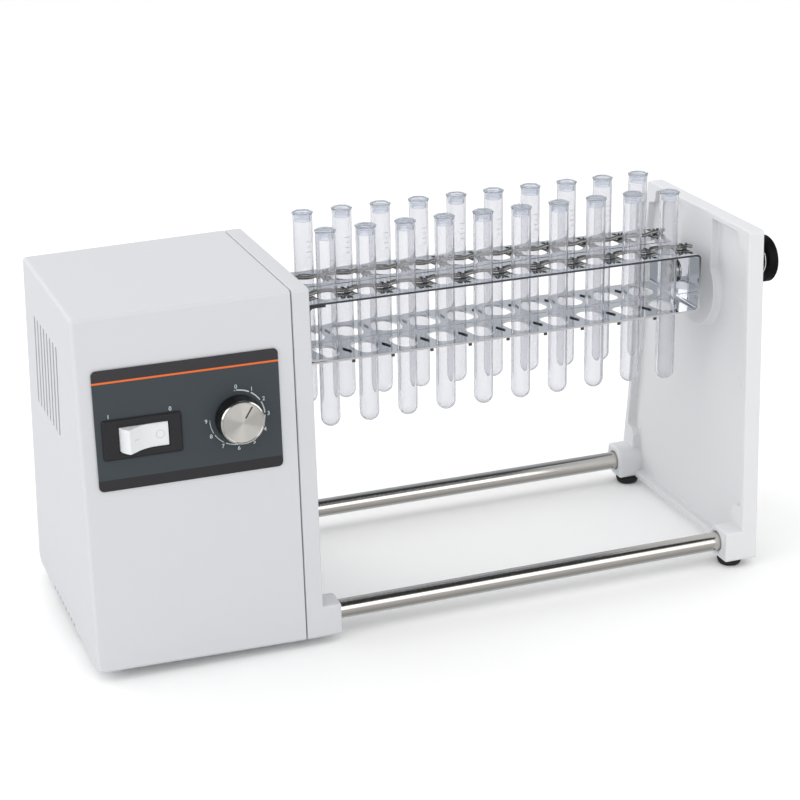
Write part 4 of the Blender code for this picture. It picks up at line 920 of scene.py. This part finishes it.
dash_plane = (lay(FRONT, SWITCH[0] + dash_place[0], SWITCH[1], dash_place[1] - 0.7), up,
              unit(slope[0] * across + slope[1] * out), slope_out[0] * across + slope_out[1] * out)
shells = [turned(ring_profile, ring_place, out, 40)]
shells += slab(dash_plane, [rectangle(0, 0, 0.5, 4.6)], -0.1, 0.1, edge=0)
rocker_marks = build("rocker_marks", shells, EMBOSSED)
fit(rocker_marks, "power_switch", "white_plastic")
print("rocker turns", THROW_DEG, "degrees")

# %% [markdown]
# ## Speed knob
# A push-on knob: a black skirt, a diamond-cut ring and a spun face with one engraved line.
# The face gets a map of its own, with the angle as its first direction.

# %% Knob
KNOB_TOP = 14.5
POINTER_DEG = 33.0
knob_centre = lay(FRONT, *KNOB, 0.0)
skirt = rounded([
    (0, 13.0, 0), (15.7, 13.0, 0), (17.0, 3.2, 0.8), (17.0, 1.6, 0.3), (3.3, 1.6, 0), (3.3, 11.0, 0),
    (0, 11.0, 0),
], closed=False)
knob = build("knob_skirt", [turned(skirt, knob_centre, out, 96)], BLACK_NYLON)
fit(knob, "speed_control", "black_plastic", "speed_knob")

ring_profile = [
    (16.0, 13.3), (16.0, 13.75), (15.85, 13.95), (15.1, KNOB_TOP), (14.8, KNOB_TOP), (14.5, 14.25),
    (14.5, 13.3),
]
ring = build("knob_ring", [turned(ring_profile, knob_centre, out, 96)], POLISHED_METAL, smooth=20)
fit(ring, "speed_control", "brushed_steel", "knob_cap")

face_profile = [(0, 14.3)] + [(r, 14.3) for r in np.linspace(0.4, 14.45, 9)] + [(14.45, 13.4), (0, 13.4)]
face = build("knob_face", [turned(face_profile, knob_centre, out, 96)], SPUN_METAL, smooth=20)
fit(face, "speed_control", "brushed_steel")
corner_points = np.empty(len(face.data.loops), int)
face.data.loops.foreach_get("vertex_index", corner_points)
points = np.empty(len(face.data.vertices) * 3)
face.data.vertices.foreach_get("co", points)
offset = points.reshape(-1, 3) * 1000 + ORIGIN - knob_centre
way_round = np.arctan2(offset @ up, offset @ across) / (2 * math.pi) + 0.5
corner_map = np.stack([way_round, np.linalg.norm(offset, axis=1)], 1)[corner_points]
totals = np.empty(len(face.data.polygons), int)
face.data.polygons.foreach_get("loop_total", totals)
highest = np.maximum.reduceat(corner_map[:, 0], np.cumsum(totals) - totals)
corner_map[:, 0] += corner_map[:, 0] < np.repeat(highest, totals) - 0.5
round_map = face.data.uv_layers.new(name="round")
round_map.data.foreach_set("uv", corner_map.ravel())

angle = math.radians(90 - POINTER_DEG)
along, aside = np.array([math.cos(angle), math.sin(angle)]), np.array([-math.sin(angle), math.cos(angle)])
line_corners = [KNOB + along * r + aside * w for r, w in ((3.6, -0.6), (13.4, -0.6), (13.4, 0.6), (3.6, 0.6))]
pointer = build("knob_pointer", slab(FRONT, [np.array(line_corners)], 14.1, 14.34, edge=0), ENGRAVED)
fit(pointer, "speed_control", "brushed_steel")
print("knob face map has", len(corner_map), "corners")

# %% [markdown]
# ## Rack
# The rack is two long strips of polished sheet. A blank is pierced flat, then its end is
# folded twice, so the upper plate, the end wall and the lower plate are one piece. The
# panels below are laid out flat with their holes, joined by quarter bends, and the single
# surface gets the sheet's thickness at the end.

# %% Strips
SHEET = 1.5
RACK_HALF, RACK_TOP, RACK_BOTTOM, RACK_LEFT, RACK_RIGHT, BEND = 41.55, 242.9, 196.3, 184.0, 505.5, 4.0
TUBES, PITCH, FIRST_X, TUBE_OFFSET, TUBE_RADIUS = 10, 31.2, 202.9, 26.8, 7.45
HOLE_SMALL, HOLE_LARGE, HOLE_SPREAD = 8.1, 10.1, 9.8
HUB_RADIUS = 7.7
STRIP_GAP = 1.4


def pear(x, inwards):
    """The outline round a small circle at the tube and a larger one nearer the middle."""
    tube_y = AXIS_Y - inwards * TUBE_OFFSET
    side = math.degrees(math.asin((HOLE_LARGE - HOLE_SMALL) / HOLE_SPREAD))
    wide = arc((x, tube_y + HOLE_SPREAD), HOLE_LARGE, -side, 180 + side, 20)
    narrow = arc((x, tube_y), HOLE_SMALL, 180 + side, 360 - side, 18)
    outline = np.concatenate([wide, narrow])
    outline[:, 1] = tube_y + inwards * (outline[:, 1] - tube_y)
    return outline


def quarter_bend(corner_x, corner_z, up, y_low, y_high, outward=1):
    """A quarter of a cylinder between a plate and a wall, along y."""
    t = np.linspace(0, math.pi / 2, 7)
    x = corner_x + outward * (-BEND + BEND * np.sin(t))
    z = corner_z + up * (-BEND + BEND * np.cos(t))
    return grid(np.stack([np.stack([x, np.full_like(x, y), z], 1) for y in (y_low, y_high)]))


def strip(inwards):
    """Upper plate, bend, end wall, bend and lower plate of one strip, as a single surface."""
    outer, inner = AXIS_Y - inwards * RACK_HALF, AXIS_Y - inwards * STRIP_GAP / 2
    far = RACK_RIGHT - BEND
    plate = np.array([(RACK_LEFT, outer), (far, outer), (far, inner), (RACK_LEFT, inner)])
    holes = [pear(FIRST_X + PITCH * number, inwards) for number in range(TUBES)]
    gaps = [FIRST_X + PITCH * (number + 0.5) for number in range(TUBES)]
    low_y = AXIS_Y - inwards * 35.5
    windows = [rectangle(x, low_y, 3.4, 5.0, 0.8) for x in gaps]
    low, high = RACK_BOTTOM + BEND, RACK_TOP - BEND
    notch = arc((inner, AXIS_Z), HUB_RADIUS + 0.3, 270 if inwards > 0 else -90, 90, 16)
    wall_outline = np.concatenate([[(outer, low)], [(inner, low)], notch, [(inner, high)], [(outer, high)]])
    return [
        flat(level(RACK_TOP), 0, [plate] + holes + windows),
        quarter_bend(RACK_RIGHT, RACK_TOP, 1, outer, inner),
        flat(across_axis(RACK_RIGHT), 0, [wall_outline]),
        quarter_bend(RACK_RIGHT, RACK_BOTTOM, -1, outer, inner),
        flat(level(RACK_BOTTOM), 0, [plate] + holes),
    ]


def aim_outwards(piece, inside):
    """Turn a single surface so that its faces look away from a point inside the fold."""
    middle = Vector((np.asarray(inside) - ORIGIN) / 1000)
    work = bmesh.new()
    work.from_mesh(piece.data)
    facing = [(face.calc_center_median() - middle).dot(face.normal) * face.calc_area() for face in work.faces]
    if sum(facing) < 0:
        bmesh.ops.reverse_faces(work, faces=work.faces)
    work.to_mesh(piece.data)
    work.free()


def sheet_piece(name, shells, inside):
    """A bent polished sheet: aimed outwards, thickened inwards with a cut edge, and shaded."""
    piece = build(name, shells, MIRROR_STEEL)
    piece.modifiers.clear()
    aim_outwards(piece, inside)
    thicken(piece, SHEET, RACK_EDGE_WITH_PAINTED_LIGHT)
    shade(piece, 32)
    return piece


LUG_INSET, LUG_DROP, SLIT_SHADE_OFFSET = 3.2, 3.2, 24.0


def tabs(inwards):
    """In each gap of the lower plate, a raised slanted dark slab as painted shade for the slit there, and a
    small lug bent down.
    """
    shells = []
    for x in FIRST_X + PITCH * (np.arange(TUBES - 1) + 0.5):
        # Painted shade: a raised dark slab stands where the lower plate has a dark slit.
        outline = rectangle(0, 0, 1.1, 8.5, 0.4)
        outline[:, 0] -= 0.45 * outline[:, 1]
        dark_slab = outline + (x, AXIS_Y - inwards * SLIT_SHADE_OFFSET)
        shells += slab(level(RACK_BOTTOM + SHEET), [dark_slab], -0.2, 1.0, edge=0.2)
        lug = rectangle(x, AXIS_Y - inwards * (RACK_HALF - LUG_INSET), 2.6, 1.4, 0.4)
        shells += slab(level(RACK_BOTTOM), [lug], -LUG_DROP, 0.3, edge=0.2)
    return shells


RACK_MIDDLE = (345.0, AXIS_Y, (RACK_TOP + RACK_BOTTOM) / 2)
for side, inwards in (("front", 1), ("back", -1)):
    rack = sheet_piece("rack_sheet_" + side, strip(inwards), RACK_MIDDLE)
    fit(rack, "rotor", "polished_steel", "rack_strip_" + side)
    dark_slab = build("rack_slit_shades_and_lugs_" + side, tabs(inwards), PAINTED_DARK_STEEL)
    fit(dark_slab, "rotor", "polished_steel")
print("strip:", len(rack.data.polygons), "faces")

# %% [markdown]
# The bracket on the shaft is a short channel of the same sheet. Its flanges lie inside the
# strips, with the first pair of tubes passing through their notches.

# %% Bracket
def channel():
    """Wall, two bends and two flanges of the channel, with its open side to the right."""
    left, end, top, bottom = 183.5, 197.0, RACK_TOP - SHEET - 0.3, RACK_BOTTOM + SHEET + 0.3
    half = RACK_HALF - 0.3
    y_low, y_high = AXIS_Y - half, AXIS_Y + half
    half_flange = [
        (left + BEND, half), (end, half), (end, TUBE_OFFSET + 5.6), (194.8, TUBE_OFFSET), (193.0, 17.0),
        (end, 10.0),
    ]
    flange = [(x, AXIS_Y - y) for x, y in half_flange] + [(x, AXIS_Y + y) for x, y in reversed(half_flange)]
    shells = [flat(level(z), 0, [np.array(flange)]) for z in (top, bottom)]
    wall_outline = rectangle(AXIS_Y, (top + bottom) / 2, 2 * half, top - bottom - 2 * BEND)
    shells.append(flat(across_axis(left), 0, [wall_outline]))
    shells += [quarter_bend(left, z, up, y_low, y_high, outward=-1) for z, up in ((top, 1), (bottom, -1))]
    return shells


bracket = sheet_piece("rack_channel", channel(), (192.0, AXIS_Y, RACK_MIDDLE[2]))
fit(bracket, "rotor", "polished_steel", "rack_bracket")

ON_SHAFT = (0, AXIS_Y, AXIS_Z)


def turned_piece(name, corners, material, smooth=32, sides=72, steps=4):
    """A piece on the turning axis from corners (radius, x, rounding)."""
    closed = corners[0][0] > 0 and corners[-1][0] > 0
    profile = rounded(corners, steps=steps, closed=closed)
    return build(name, [turned(profile, ON_SHAFT, sides=sides)], material, smooth)


hub = turned_piece("rack_hub_turned", [
    (HUB_RADIUS, 511.0, 0.4), (HUB_RADIUS, 503.7, 0), (9.5, 503.7, 0), (9.5, 501.7, 0.3), (5.4, 501.7, 0),
    (5.4, 511.0, 0.3),
], TURNED_STEEL, sides=64, steps=6)
fit(hub, "rotor", "brushed_steel", "rack_hub")
shaft = turned_piece("flanged_shaft", [
    (0, 183.2, 0), (17.0, 183.2, 0.5), (17.0, 174.5, 0.5), (6.0, 174.5, 0.5), (6.0, 122.5, 0.5),
    (0, 122.5, 0),
], TURNED_STEEL, sides=64, steps=6)
fit(shaft, "rotor", "brushed_steel", "output_shaft")
bearing = turned_piece("shaft_bearing", [
    (14.0, 168.0, 0.4), (14.0, 160.0, 0.4), (6.3, 160.0, 0.3), (6.3, 168.0, 0.3),
], TURNED_STEEL, sides=64, steps=6)
fit(bearing, "housing", "brushed_steel", "left_bearing")
print("channel, hub, shaft and bearing made")

# %% [markdown]
# ## Springs and their hooks
# In each row a wound spring weaves between the tubes and presses them into their holes.
# The real wire is about half a millimetre and lies coil on coil. It is drawn a little
# coarser, so that the winding shows: a helix about a wavy middle line. The hooks are
# tongues of the upper plate that are bent up and over the spring.

# %% Wave springs
SPRING_RADIUS, WAVE, TAIL_LENGTH = 1.6, 2.8, 6.0
WIRE_RADIUS, COIL_PITCH = 0.40, 0.82
SPRING_Z = RACK_TOP + SPRING_RADIUS + 0.3
SPRING_REACH = TUBE_RADIUS + SPRING_RADIUS + 0.3


def spring_line(inwards, count):
    """The middle line: a cosine with one wave per tube, and a tail that dips over the end wall."""
    start, end = FIRST_X - PITCH / 2, FIRST_X + PITCH * (TUBES - 0.5)
    x = np.linspace(start, end + TAIL_LENGTH, count)
    wave = np.cos(2 * math.pi * (np.minimum(x, end) - FIRST_X) / PITCH)
    tail = np.clip((x - end) / TAIL_LENGTH, 0, 1)
    y = SPRING_REACH - WAVE * (1 - wave) - 3.0 * tail ** 2
    y = AXIS_Y - inwards * TUBE_OFFSET + inwards * y
    return np.stack([x, y, SPRING_Z + 0.6 * np.sin(math.pi * tail)], 1)


def wound(line, coil_radius, pitch, wire_radius, sides=6, per_turn=10):
    """A helix about a middle line: the angle grows with the length along the line."""
    along = np.gradient(line, axis=0)
    length = np.concatenate([[0], np.cumsum(np.linalg.norm(np.diff(line, axis=0), axis=1))])
    count = int(length[-1] / pitch * per_turn)
    where = np.linspace(0, length[-1], count)
    middle = np.stack([np.interp(where, length, line[:, k]) for k in range(3)], 1)
    ahead = np.stack([np.interp(where, length, along[:, k]) for k in range(3)], 1)
    ahead /= np.linalg.norm(ahead, axis=1)[:, None]
    side = np.cross(ahead, (0, 0, 1) if abs(ahead[0, 2]) < 0.9 else (0, 1, 0))
    side /= np.linalg.norm(side, axis=1)[:, None]
    other = np.cross(side, ahead)
    turn = (where / pitch * 2 * math.pi)[:, None]
    path = middle + coil_radius * (np.cos(turn) * side + np.sin(turn) * other)
    return strand(path, wire_radius, ahead, sides)


for side, inwards in (("front", 1), ("back", -1)):
    coil = wound(spring_line(inwards, 900), SPRING_RADIUS - WIRE_RADIUS, COIL_PITCH, WIRE_RADIUS)
    spring = build("wound_spring_" + side, [coil], SPRING_WIRE, smooth=60)
    fit(spring, "rotor", "spring_wire", "wave_spring_" + side)

HOOK_WIDTH, HOOK_RADIUS, HOOK_SPREAD = 1.9, 2.4, 2.3
for side, inwards in (("front", 1), ("back", -1)):
    hooks = []
    spring_y = SPRING_REACH - 2 * WAVE
    t = np.radians(np.linspace(45, 185, 16))
    over = np.stack([spring_y + HOOK_RADIUS * np.cos(t), SPRING_Z + 0.4 + HOOK_RADIUS * np.sin(t)], 1)
    root_y = spring_y - HOOK_RADIUS
    path = np.concatenate([over, [(root_y - 0.3, RACK_TOP + 0.5), (root_y - 1.0, RACK_TOP - 0.2)]])
    y = AXIS_Y - inwards * TUBE_OFFSET + inwards * path[:, 0]
    taper_to_tip = np.linspace(0.5, 1.0, len(path))
    for x in FIRST_X + PITCH * (np.arange(TUBES) + 0.5):
        for lean in (-1, 1):
            middle = x + lean * HOOK_SPREAD * np.linspace(1.25, 0.3, len(path))
            half = HOOK_WIDTH * taper_to_tip / 2
            hooks.append(grid(np.stack([np.stack([middle + w * half, y, path[:, 1]], 1) for w in (-1, 1)])))
    # Painted reflection: the polished hooks take the darkened steel for the black they show.
    fit(build("spring_hooks_" + side, hooks, PAINTED_DARK_STEEL, thickness=0.7), "rotor", "polished_steel")
print("springs:", len(spring.data.polygons), "faces each, hooks", 2 * TUBES)

# %% [markdown]
# ## Test tubes
# Each tube is drawn glass with a round bottom and a wall of nine tenths of a millimetre,
# closed by a soft stopper with a dished top and a skirt inside the rim. Both are turned
# profiles. The marks of the scale are short arcs on the glass.

# %% Tubes and stoppers
TUBE_TOP, TUBE_BOTTOM, GLASS_WALL = 294.1, 140.8, 0.9
STOPPER_RADIUS = 8.05


def tube_profile():
    """Up the inside from the round bottom, over the rim, and down the outside to the bottom."""
    rim = TUBE_TOP - 1.35
    outer_bottom = arc((0, TUBE_BOTTOM + TUBE_RADIUS), TUBE_RADIUS, 0, -90, 14)
    inner_radius = TUBE_RADIUS - GLASS_WALL
    inner_bottom = arc((0, TUBE_BOTTOM + TUBE_RADIUS), inner_radius, -90, 0, 14)
    rim_arc = arc((TUBE_RADIUS - GLASS_WALL / 2, rim - GLASS_WALL / 2), GLASS_WALL / 2, 180, 0, 6)
    return np.concatenate([inner_bottom, rim_arc, outer_bottom])


STOPPER = rounded([(radius, TUBE_TOP - depth, edge) for radius, depth, edge in (
    (0, 1.7, 0), (5.2, 1.7, 0.6), (6.0, 0.15, 0.5), (7.6, 0, 0.3), (STOPPER_RADIUS, 0.5, 0.2),
    (STOPPER_RADIUS, 1.2, 0.2), (6.45, 1.25, 0.1), (6.3, 7.0, 0.4), (5.3, 7.0, 0.4), (5.0, 2.8, 0.4),
    (0, 2.8, 0),
)], steps=3, closed=False)
GLASS_PROFILE = tube_profile()
SUNK = {"front_10": -1.9}
TICKS, TICK_PITCH, TICK_TOP, TICK_TURN, TICK_RADIUS = 4, 4.0, 272.0, math.radians(-75), 7.50


def ticks(x, y, sunk):
    """Short arcs on the glass one above the other, every other one longer."""
    patches = []
    for number in range(TICKS):
        half = math.radians(16 if number % 2 == 0 else 9)
        angle = TICK_TURN + np.linspace(-half, half, 6)
        middle = TICK_TOP - TICK_PITCH * number + sunk
        around_x, around_y = x + TICK_RADIUS * np.cos(angle), y + TICK_RADIUS * np.sin(angle)
        edges = [np.stack([around_x, around_y, np.full(6, middle + rise)], 1) for rise in (-0.2, 0.2)]
        patches.append(grid(np.stack(edges)))
    return patches


for row, inwards in (("front", 1), ("back", -1)):
    scale = []
    for number in range(TUBES):
        x, y = FIRST_X + PITCH * number, AXIS_Y - inwards * TUBE_OFFSET
        label = "%s_%02d" % (row, number + 1)
        sunk = SUNK.get(label, 0.0)
        shells = [turned(profile, (x, y, sunk), (0, 0, 1), 40) for profile in (GLASS_PROFILE, STOPPER)]
        glass = build("glass_tube_" + label, shells[:1], TUBE_GLASS, smooth=50)
        fit(glass, "rotor", "tube_glass", "tube_" + label)
        stopper = build("stopper_" + label, shells[1:], STOPPER_PLASTIC, smooth=40)
        fit(stopper, "rotor", "tube_glass")
        glass.visible_shadow = stopper.visible_shadow = False
        scale += ticks(x, y, sunk)
    fit(build("graduations_" + row, scale, GRADUATION, thickness=0.03), "rotor", "tube_glass")
print("tubes:", 2 * TUBES, "with", len(glass.data.polygons), "faces each")

# %% [markdown]
# ## Release knob and bearing
# On the bearing plate a spring-loaded pin carries the rack. Pulling the knob draws the
# pin out of the rack's hub against its spring, which shortens inside the housing.

# %% Pin, housing, spring and hand knob
bush = turned_piece("plain_bush", [
    (8.7, 537.2, 0.3), (8.7, 523.2, 0.3), (5.4, 523.2, 0.3), (5.4, 537.2, 0.3),
], BLACK_NYLON)
fit(bush, "housing", "black_plastic", "right_bush")
housing = turned_piece("pin_housing_moulding", [
    (14.0, 562.5, 1.0), (14.0, 536.0, 0.3), (10.0, 536.0, 0), (10.0, 560.3, 0), (5.4, 560.3, 0),
    (5.4, 562.5, 0.2),
], BLACK_NYLON)
fit(housing, "housing", "black_plastic", "pin_housing")
pin = turned_piece("bearing_pin_turned", [
    (0, 582.3, 0), (5.1, 582.3, 0.4), (5.1, 540.2, 0), (9.2, 540.2, 0.3), (9.2, 537.7, 0.3), (5.1, 537.7, 0),
    (5.1, 501.0, 0.3), (4.1, 500.0, 0.3), (0, 500.0, 0),
], TURNED_STEEL)
fit(pin, "release", "brushed_steel", "bearing_pin")
HAND_KNOB_END = 589.3
hand_knob = turned_piece("hand_knob_moulding", [
    (0, HAND_KNOB_END, 0), (17.4, HAND_KNOB_END, 0.8), (19.0, 587.7, 1.2), (19.0, 581.6, 0.8),
    (18.2, 580.5, 0.6), (12.3, 580.5, 0.8), (12.3, 563.5, 0.5), (5.4, 563.5, 0), (5.4, 582.6, 0),
    (0, 582.6, 0),
], KNOB_NYLON, sides=96)
fit(hand_knob, "release", "black_plastic", "hand_knob")
trim = turned_piece("hand_knob_trim", [
    (12.9, 580.5, 0.15), (12.9, 581.1, 0.15), (12.2, 581.1, 0), (12.2, 579.9, 0.1), (12.5, 579.9, 0.1),
], POLISHED_METAL, sides=96)
fit(trim, "release", "black_plastic")
pin_line = np.stack([np.linspace(541.0, 559.4, 200), np.full(200, AXIS_Y), np.full(200, AXIS_Z)], 1)
pin_coil = build("pin_coil", [wound(pin_line, 8.4, 3.0, 0.6, sides=8, per_turn=32)], SPRING_WIRE, smooth=60)
fit(pin_coil, "housing", "spring_wire", "pin_spring")
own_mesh(pin_coil)
print("release: knob reaches", HAND_KNOB_END, "mm")

# %% [markdown]
# ## Mains inlet
# On the rear is a standard inlet for a detachable lead: a flange, a socket with two cut
# corners and three flat blades. Plates with rounded edges make all of it.

# %% Inlet
u, v = INLET
socket = rounded([
    (u - 12, v - 8, 1.5), (u + 12, v - 8, 1.5), (u + 12, v + 3.5, 1.0), (u + 7.5, v + 8, 1.0),
    (u - 7.5, v + 8, 1.0), (u - 12, v + 3.5, 1.0),
])
shells = slab(REAR, [rectangle(u, v, 31, 25, 2.5), socket], 0.3, 2.3, edge=0.5)
body = rectangle(u, v, 27.6, 20.6, 1.0)
shells += slab(REAR, [body, shrink(socket, 0.02)], -16.0, 1.8, edge=0)
shells += slab(REAR, [body], -18.5, -15.8, edge=0)
inlet = build("mains_inlet_moulding", shells, BLACK_NYLON)
fit(inlet, "housing", "black_plastic", "mains_inlet")
blades = []
for blade_u, blade_v in ((u - 7, v - 1.5), (u + 7, v - 1.5), (u, v + 2.5)):
    blades += slab(REAR, [rectangle(blade_u, blade_v, 2.0, 4.0, 0.4)], -15.9, -2.5, edge=0.4)
fit(build("inlet_blades", blades, TURNED_STEEL), "housing", "brushed_steel")
print("inlet at", INLET, "on the rear plane")

# %% [markdown]
# ## Parts inside the cover
# Motor, bracket, pulleys, belt, board, switch body and potentiometer keep their own solids,
# because only slivers of them show through the slots. They take the finish of the real ones.

# %% Finish the carried-over solids
INSIDE = {
    "motor_body": MOTOR_ENAMEL, "motor_bracket": SATIN_STEEL, "motor_shaft": TURNED_STEEL,
    "motor_pulley": ALUMINIUM, "driven_pulley": ALUMINIUM, "drive_belt": BELT_RUBBER,
    "control_board": SOLDER_MASK, "switch_body": BLACK_NYLON, "potentiometer_body": TURNED_STEEL,
    "potentiometer_shaft": TURNED_STEEL,
}
for name, material in INSIDE.items():
    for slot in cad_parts[name].material_slots:
        slot.material = material
print(len(INSIDE), "solids carried over")

# %% [markdown]
# ## Studio
# The photograph is a cut-out on white under very soft light from all round, a little
# stronger from above and from the left. The polished sheet shows dark bands, so the
# surroundings that only mirrors see have dark boards and bright papers at set heights,
# others in front than behind. The lamps above and behind don't show in mirrors.

# %% Floor, surroundings and lights
floor_mesh = bpy.data.meshes.new("floor")
floor_mesh.from_pydata([(-8, -8, 0), (8, -8, 0), (8, 8, 0), (-8, 8, 0)], [], [(0, 1, 2, 3)])
floor = bpy.data.objects.new("floor", floor_mesh)
bpy.context.scene.collection.objects.link(floor)
FLOOR_PAINT = plain("studio_floor_matt_white", "#FCFCFC", (4.0, 0.002, 0.0), Roughness=0.9)
floor_mesh.materials.append(FLOOR_PAINT)
floor.visible_glossy = False

world = bpy.data.worlds.new("studio")
bpy.context.scene.world = world
world.use_nodes = True
background = world.node_tree.nodes["Background"]
background.inputs["Strength"].default_value = 1.0
light_path = add(world, "LightPath")
rise = share_along(world, "Z", -1.0, 1.0, output="Generated")
BACK_BOARDS = [
    (0.0, 0.60), (0.34, 0.40), (0.45, 0.06), (0.50, 0.05), (0.55, 0.30), (0.62, 0.55), (0.71, 0.62),
    (0.78, 0.40), (0.86, 0.35), (0.92, 0.30), (0.96, 0.03), (1.0, 0.03),
]
FRONT_BOARDS = [
    (0.0, 0.30), (0.28, 0.50), (0.40, 0.60), (0.47, 0.62), (0.485, 0.20), (0.50, 0.20), (0.52, 1.25),
    (0.62, 1.60), (0.80, 1.45), (0.85, 0.04), (1.0, 0.03),
]
FRONT_TINT, BACK_TINT = -0.04, 0.26


def boards(stops, tint):
    """A ramp over height: papers and boards as mirrors see them, tinted where they are grey."""
    ramp = add(world, "ValToRGB", {"Fac": rise})
    elements = ramp.color_ramp.elements
    for where, value in stops:
        stop = elements[0] if where == 0.0 else elements[-1] if where == 1.0 else elements.new(where)
        blue = 1 + tint * max(0.0, 1 - value)
        stop.color = (value, value * (1 + blue) / 2, value * blue, 1.0)
    return ramp.outputs["Color"]


to_back = share_along(world, "Y", -0.25, 0.15, output="Generated")
mirrored_room = mix(world, to_back, boards(FRONT_BOARDS, FRONT_TINT), boards(BACK_BOARDS, BACK_TINT))
room = mix(world, light_path.outputs["Is Glossy Ray"], (1.0, 1.0, 1.0, 1.0), mirrored_room)
link(world, room, background.inputs["Color"])


def softbox(name, place, target, size, power, mirrored=True):
    """A square area light aimed at a point."""
    data = bpy.data.lights.new(name, "AREA")
    data.shape = "SQUARE"
    data.size = size
    data.energy = power
    lamp = bpy.data.objects.new(name, data)
    lamp.location = place
    lamp.rotation_euler = (Vector(target) - Vector(place)).to_track_quat("-Z", "Y").to_euler()
    lamp.visible_camera = False
    lamp.visible_glossy = mirrored
    bpy.context.scene.collection.objects.link(lamp)


softbox("top_softbox", (-0.3, 0.2, 2.2), (0, 0, 0.1), 2.2, 6.5, mirrored=False)
softbox("rear_left_softbox", (-1.2, 1.6, 0.8), (0.23, 0, 0.1), 1.0, 7.5, mirrored=False)
softbox("left_softbox", (-2.2, -0.4, 1.1), (0.2, 0, 0.15), 1.4, 9.0)
softbox("front_right_softbox", (0.62, -1.9, 1.0), (0, 0, 0.15), 1.0, 2.0)
print("studio ready with", len(FRONT_BOARDS) + len(BACK_BOARDS), "tones for reflections")
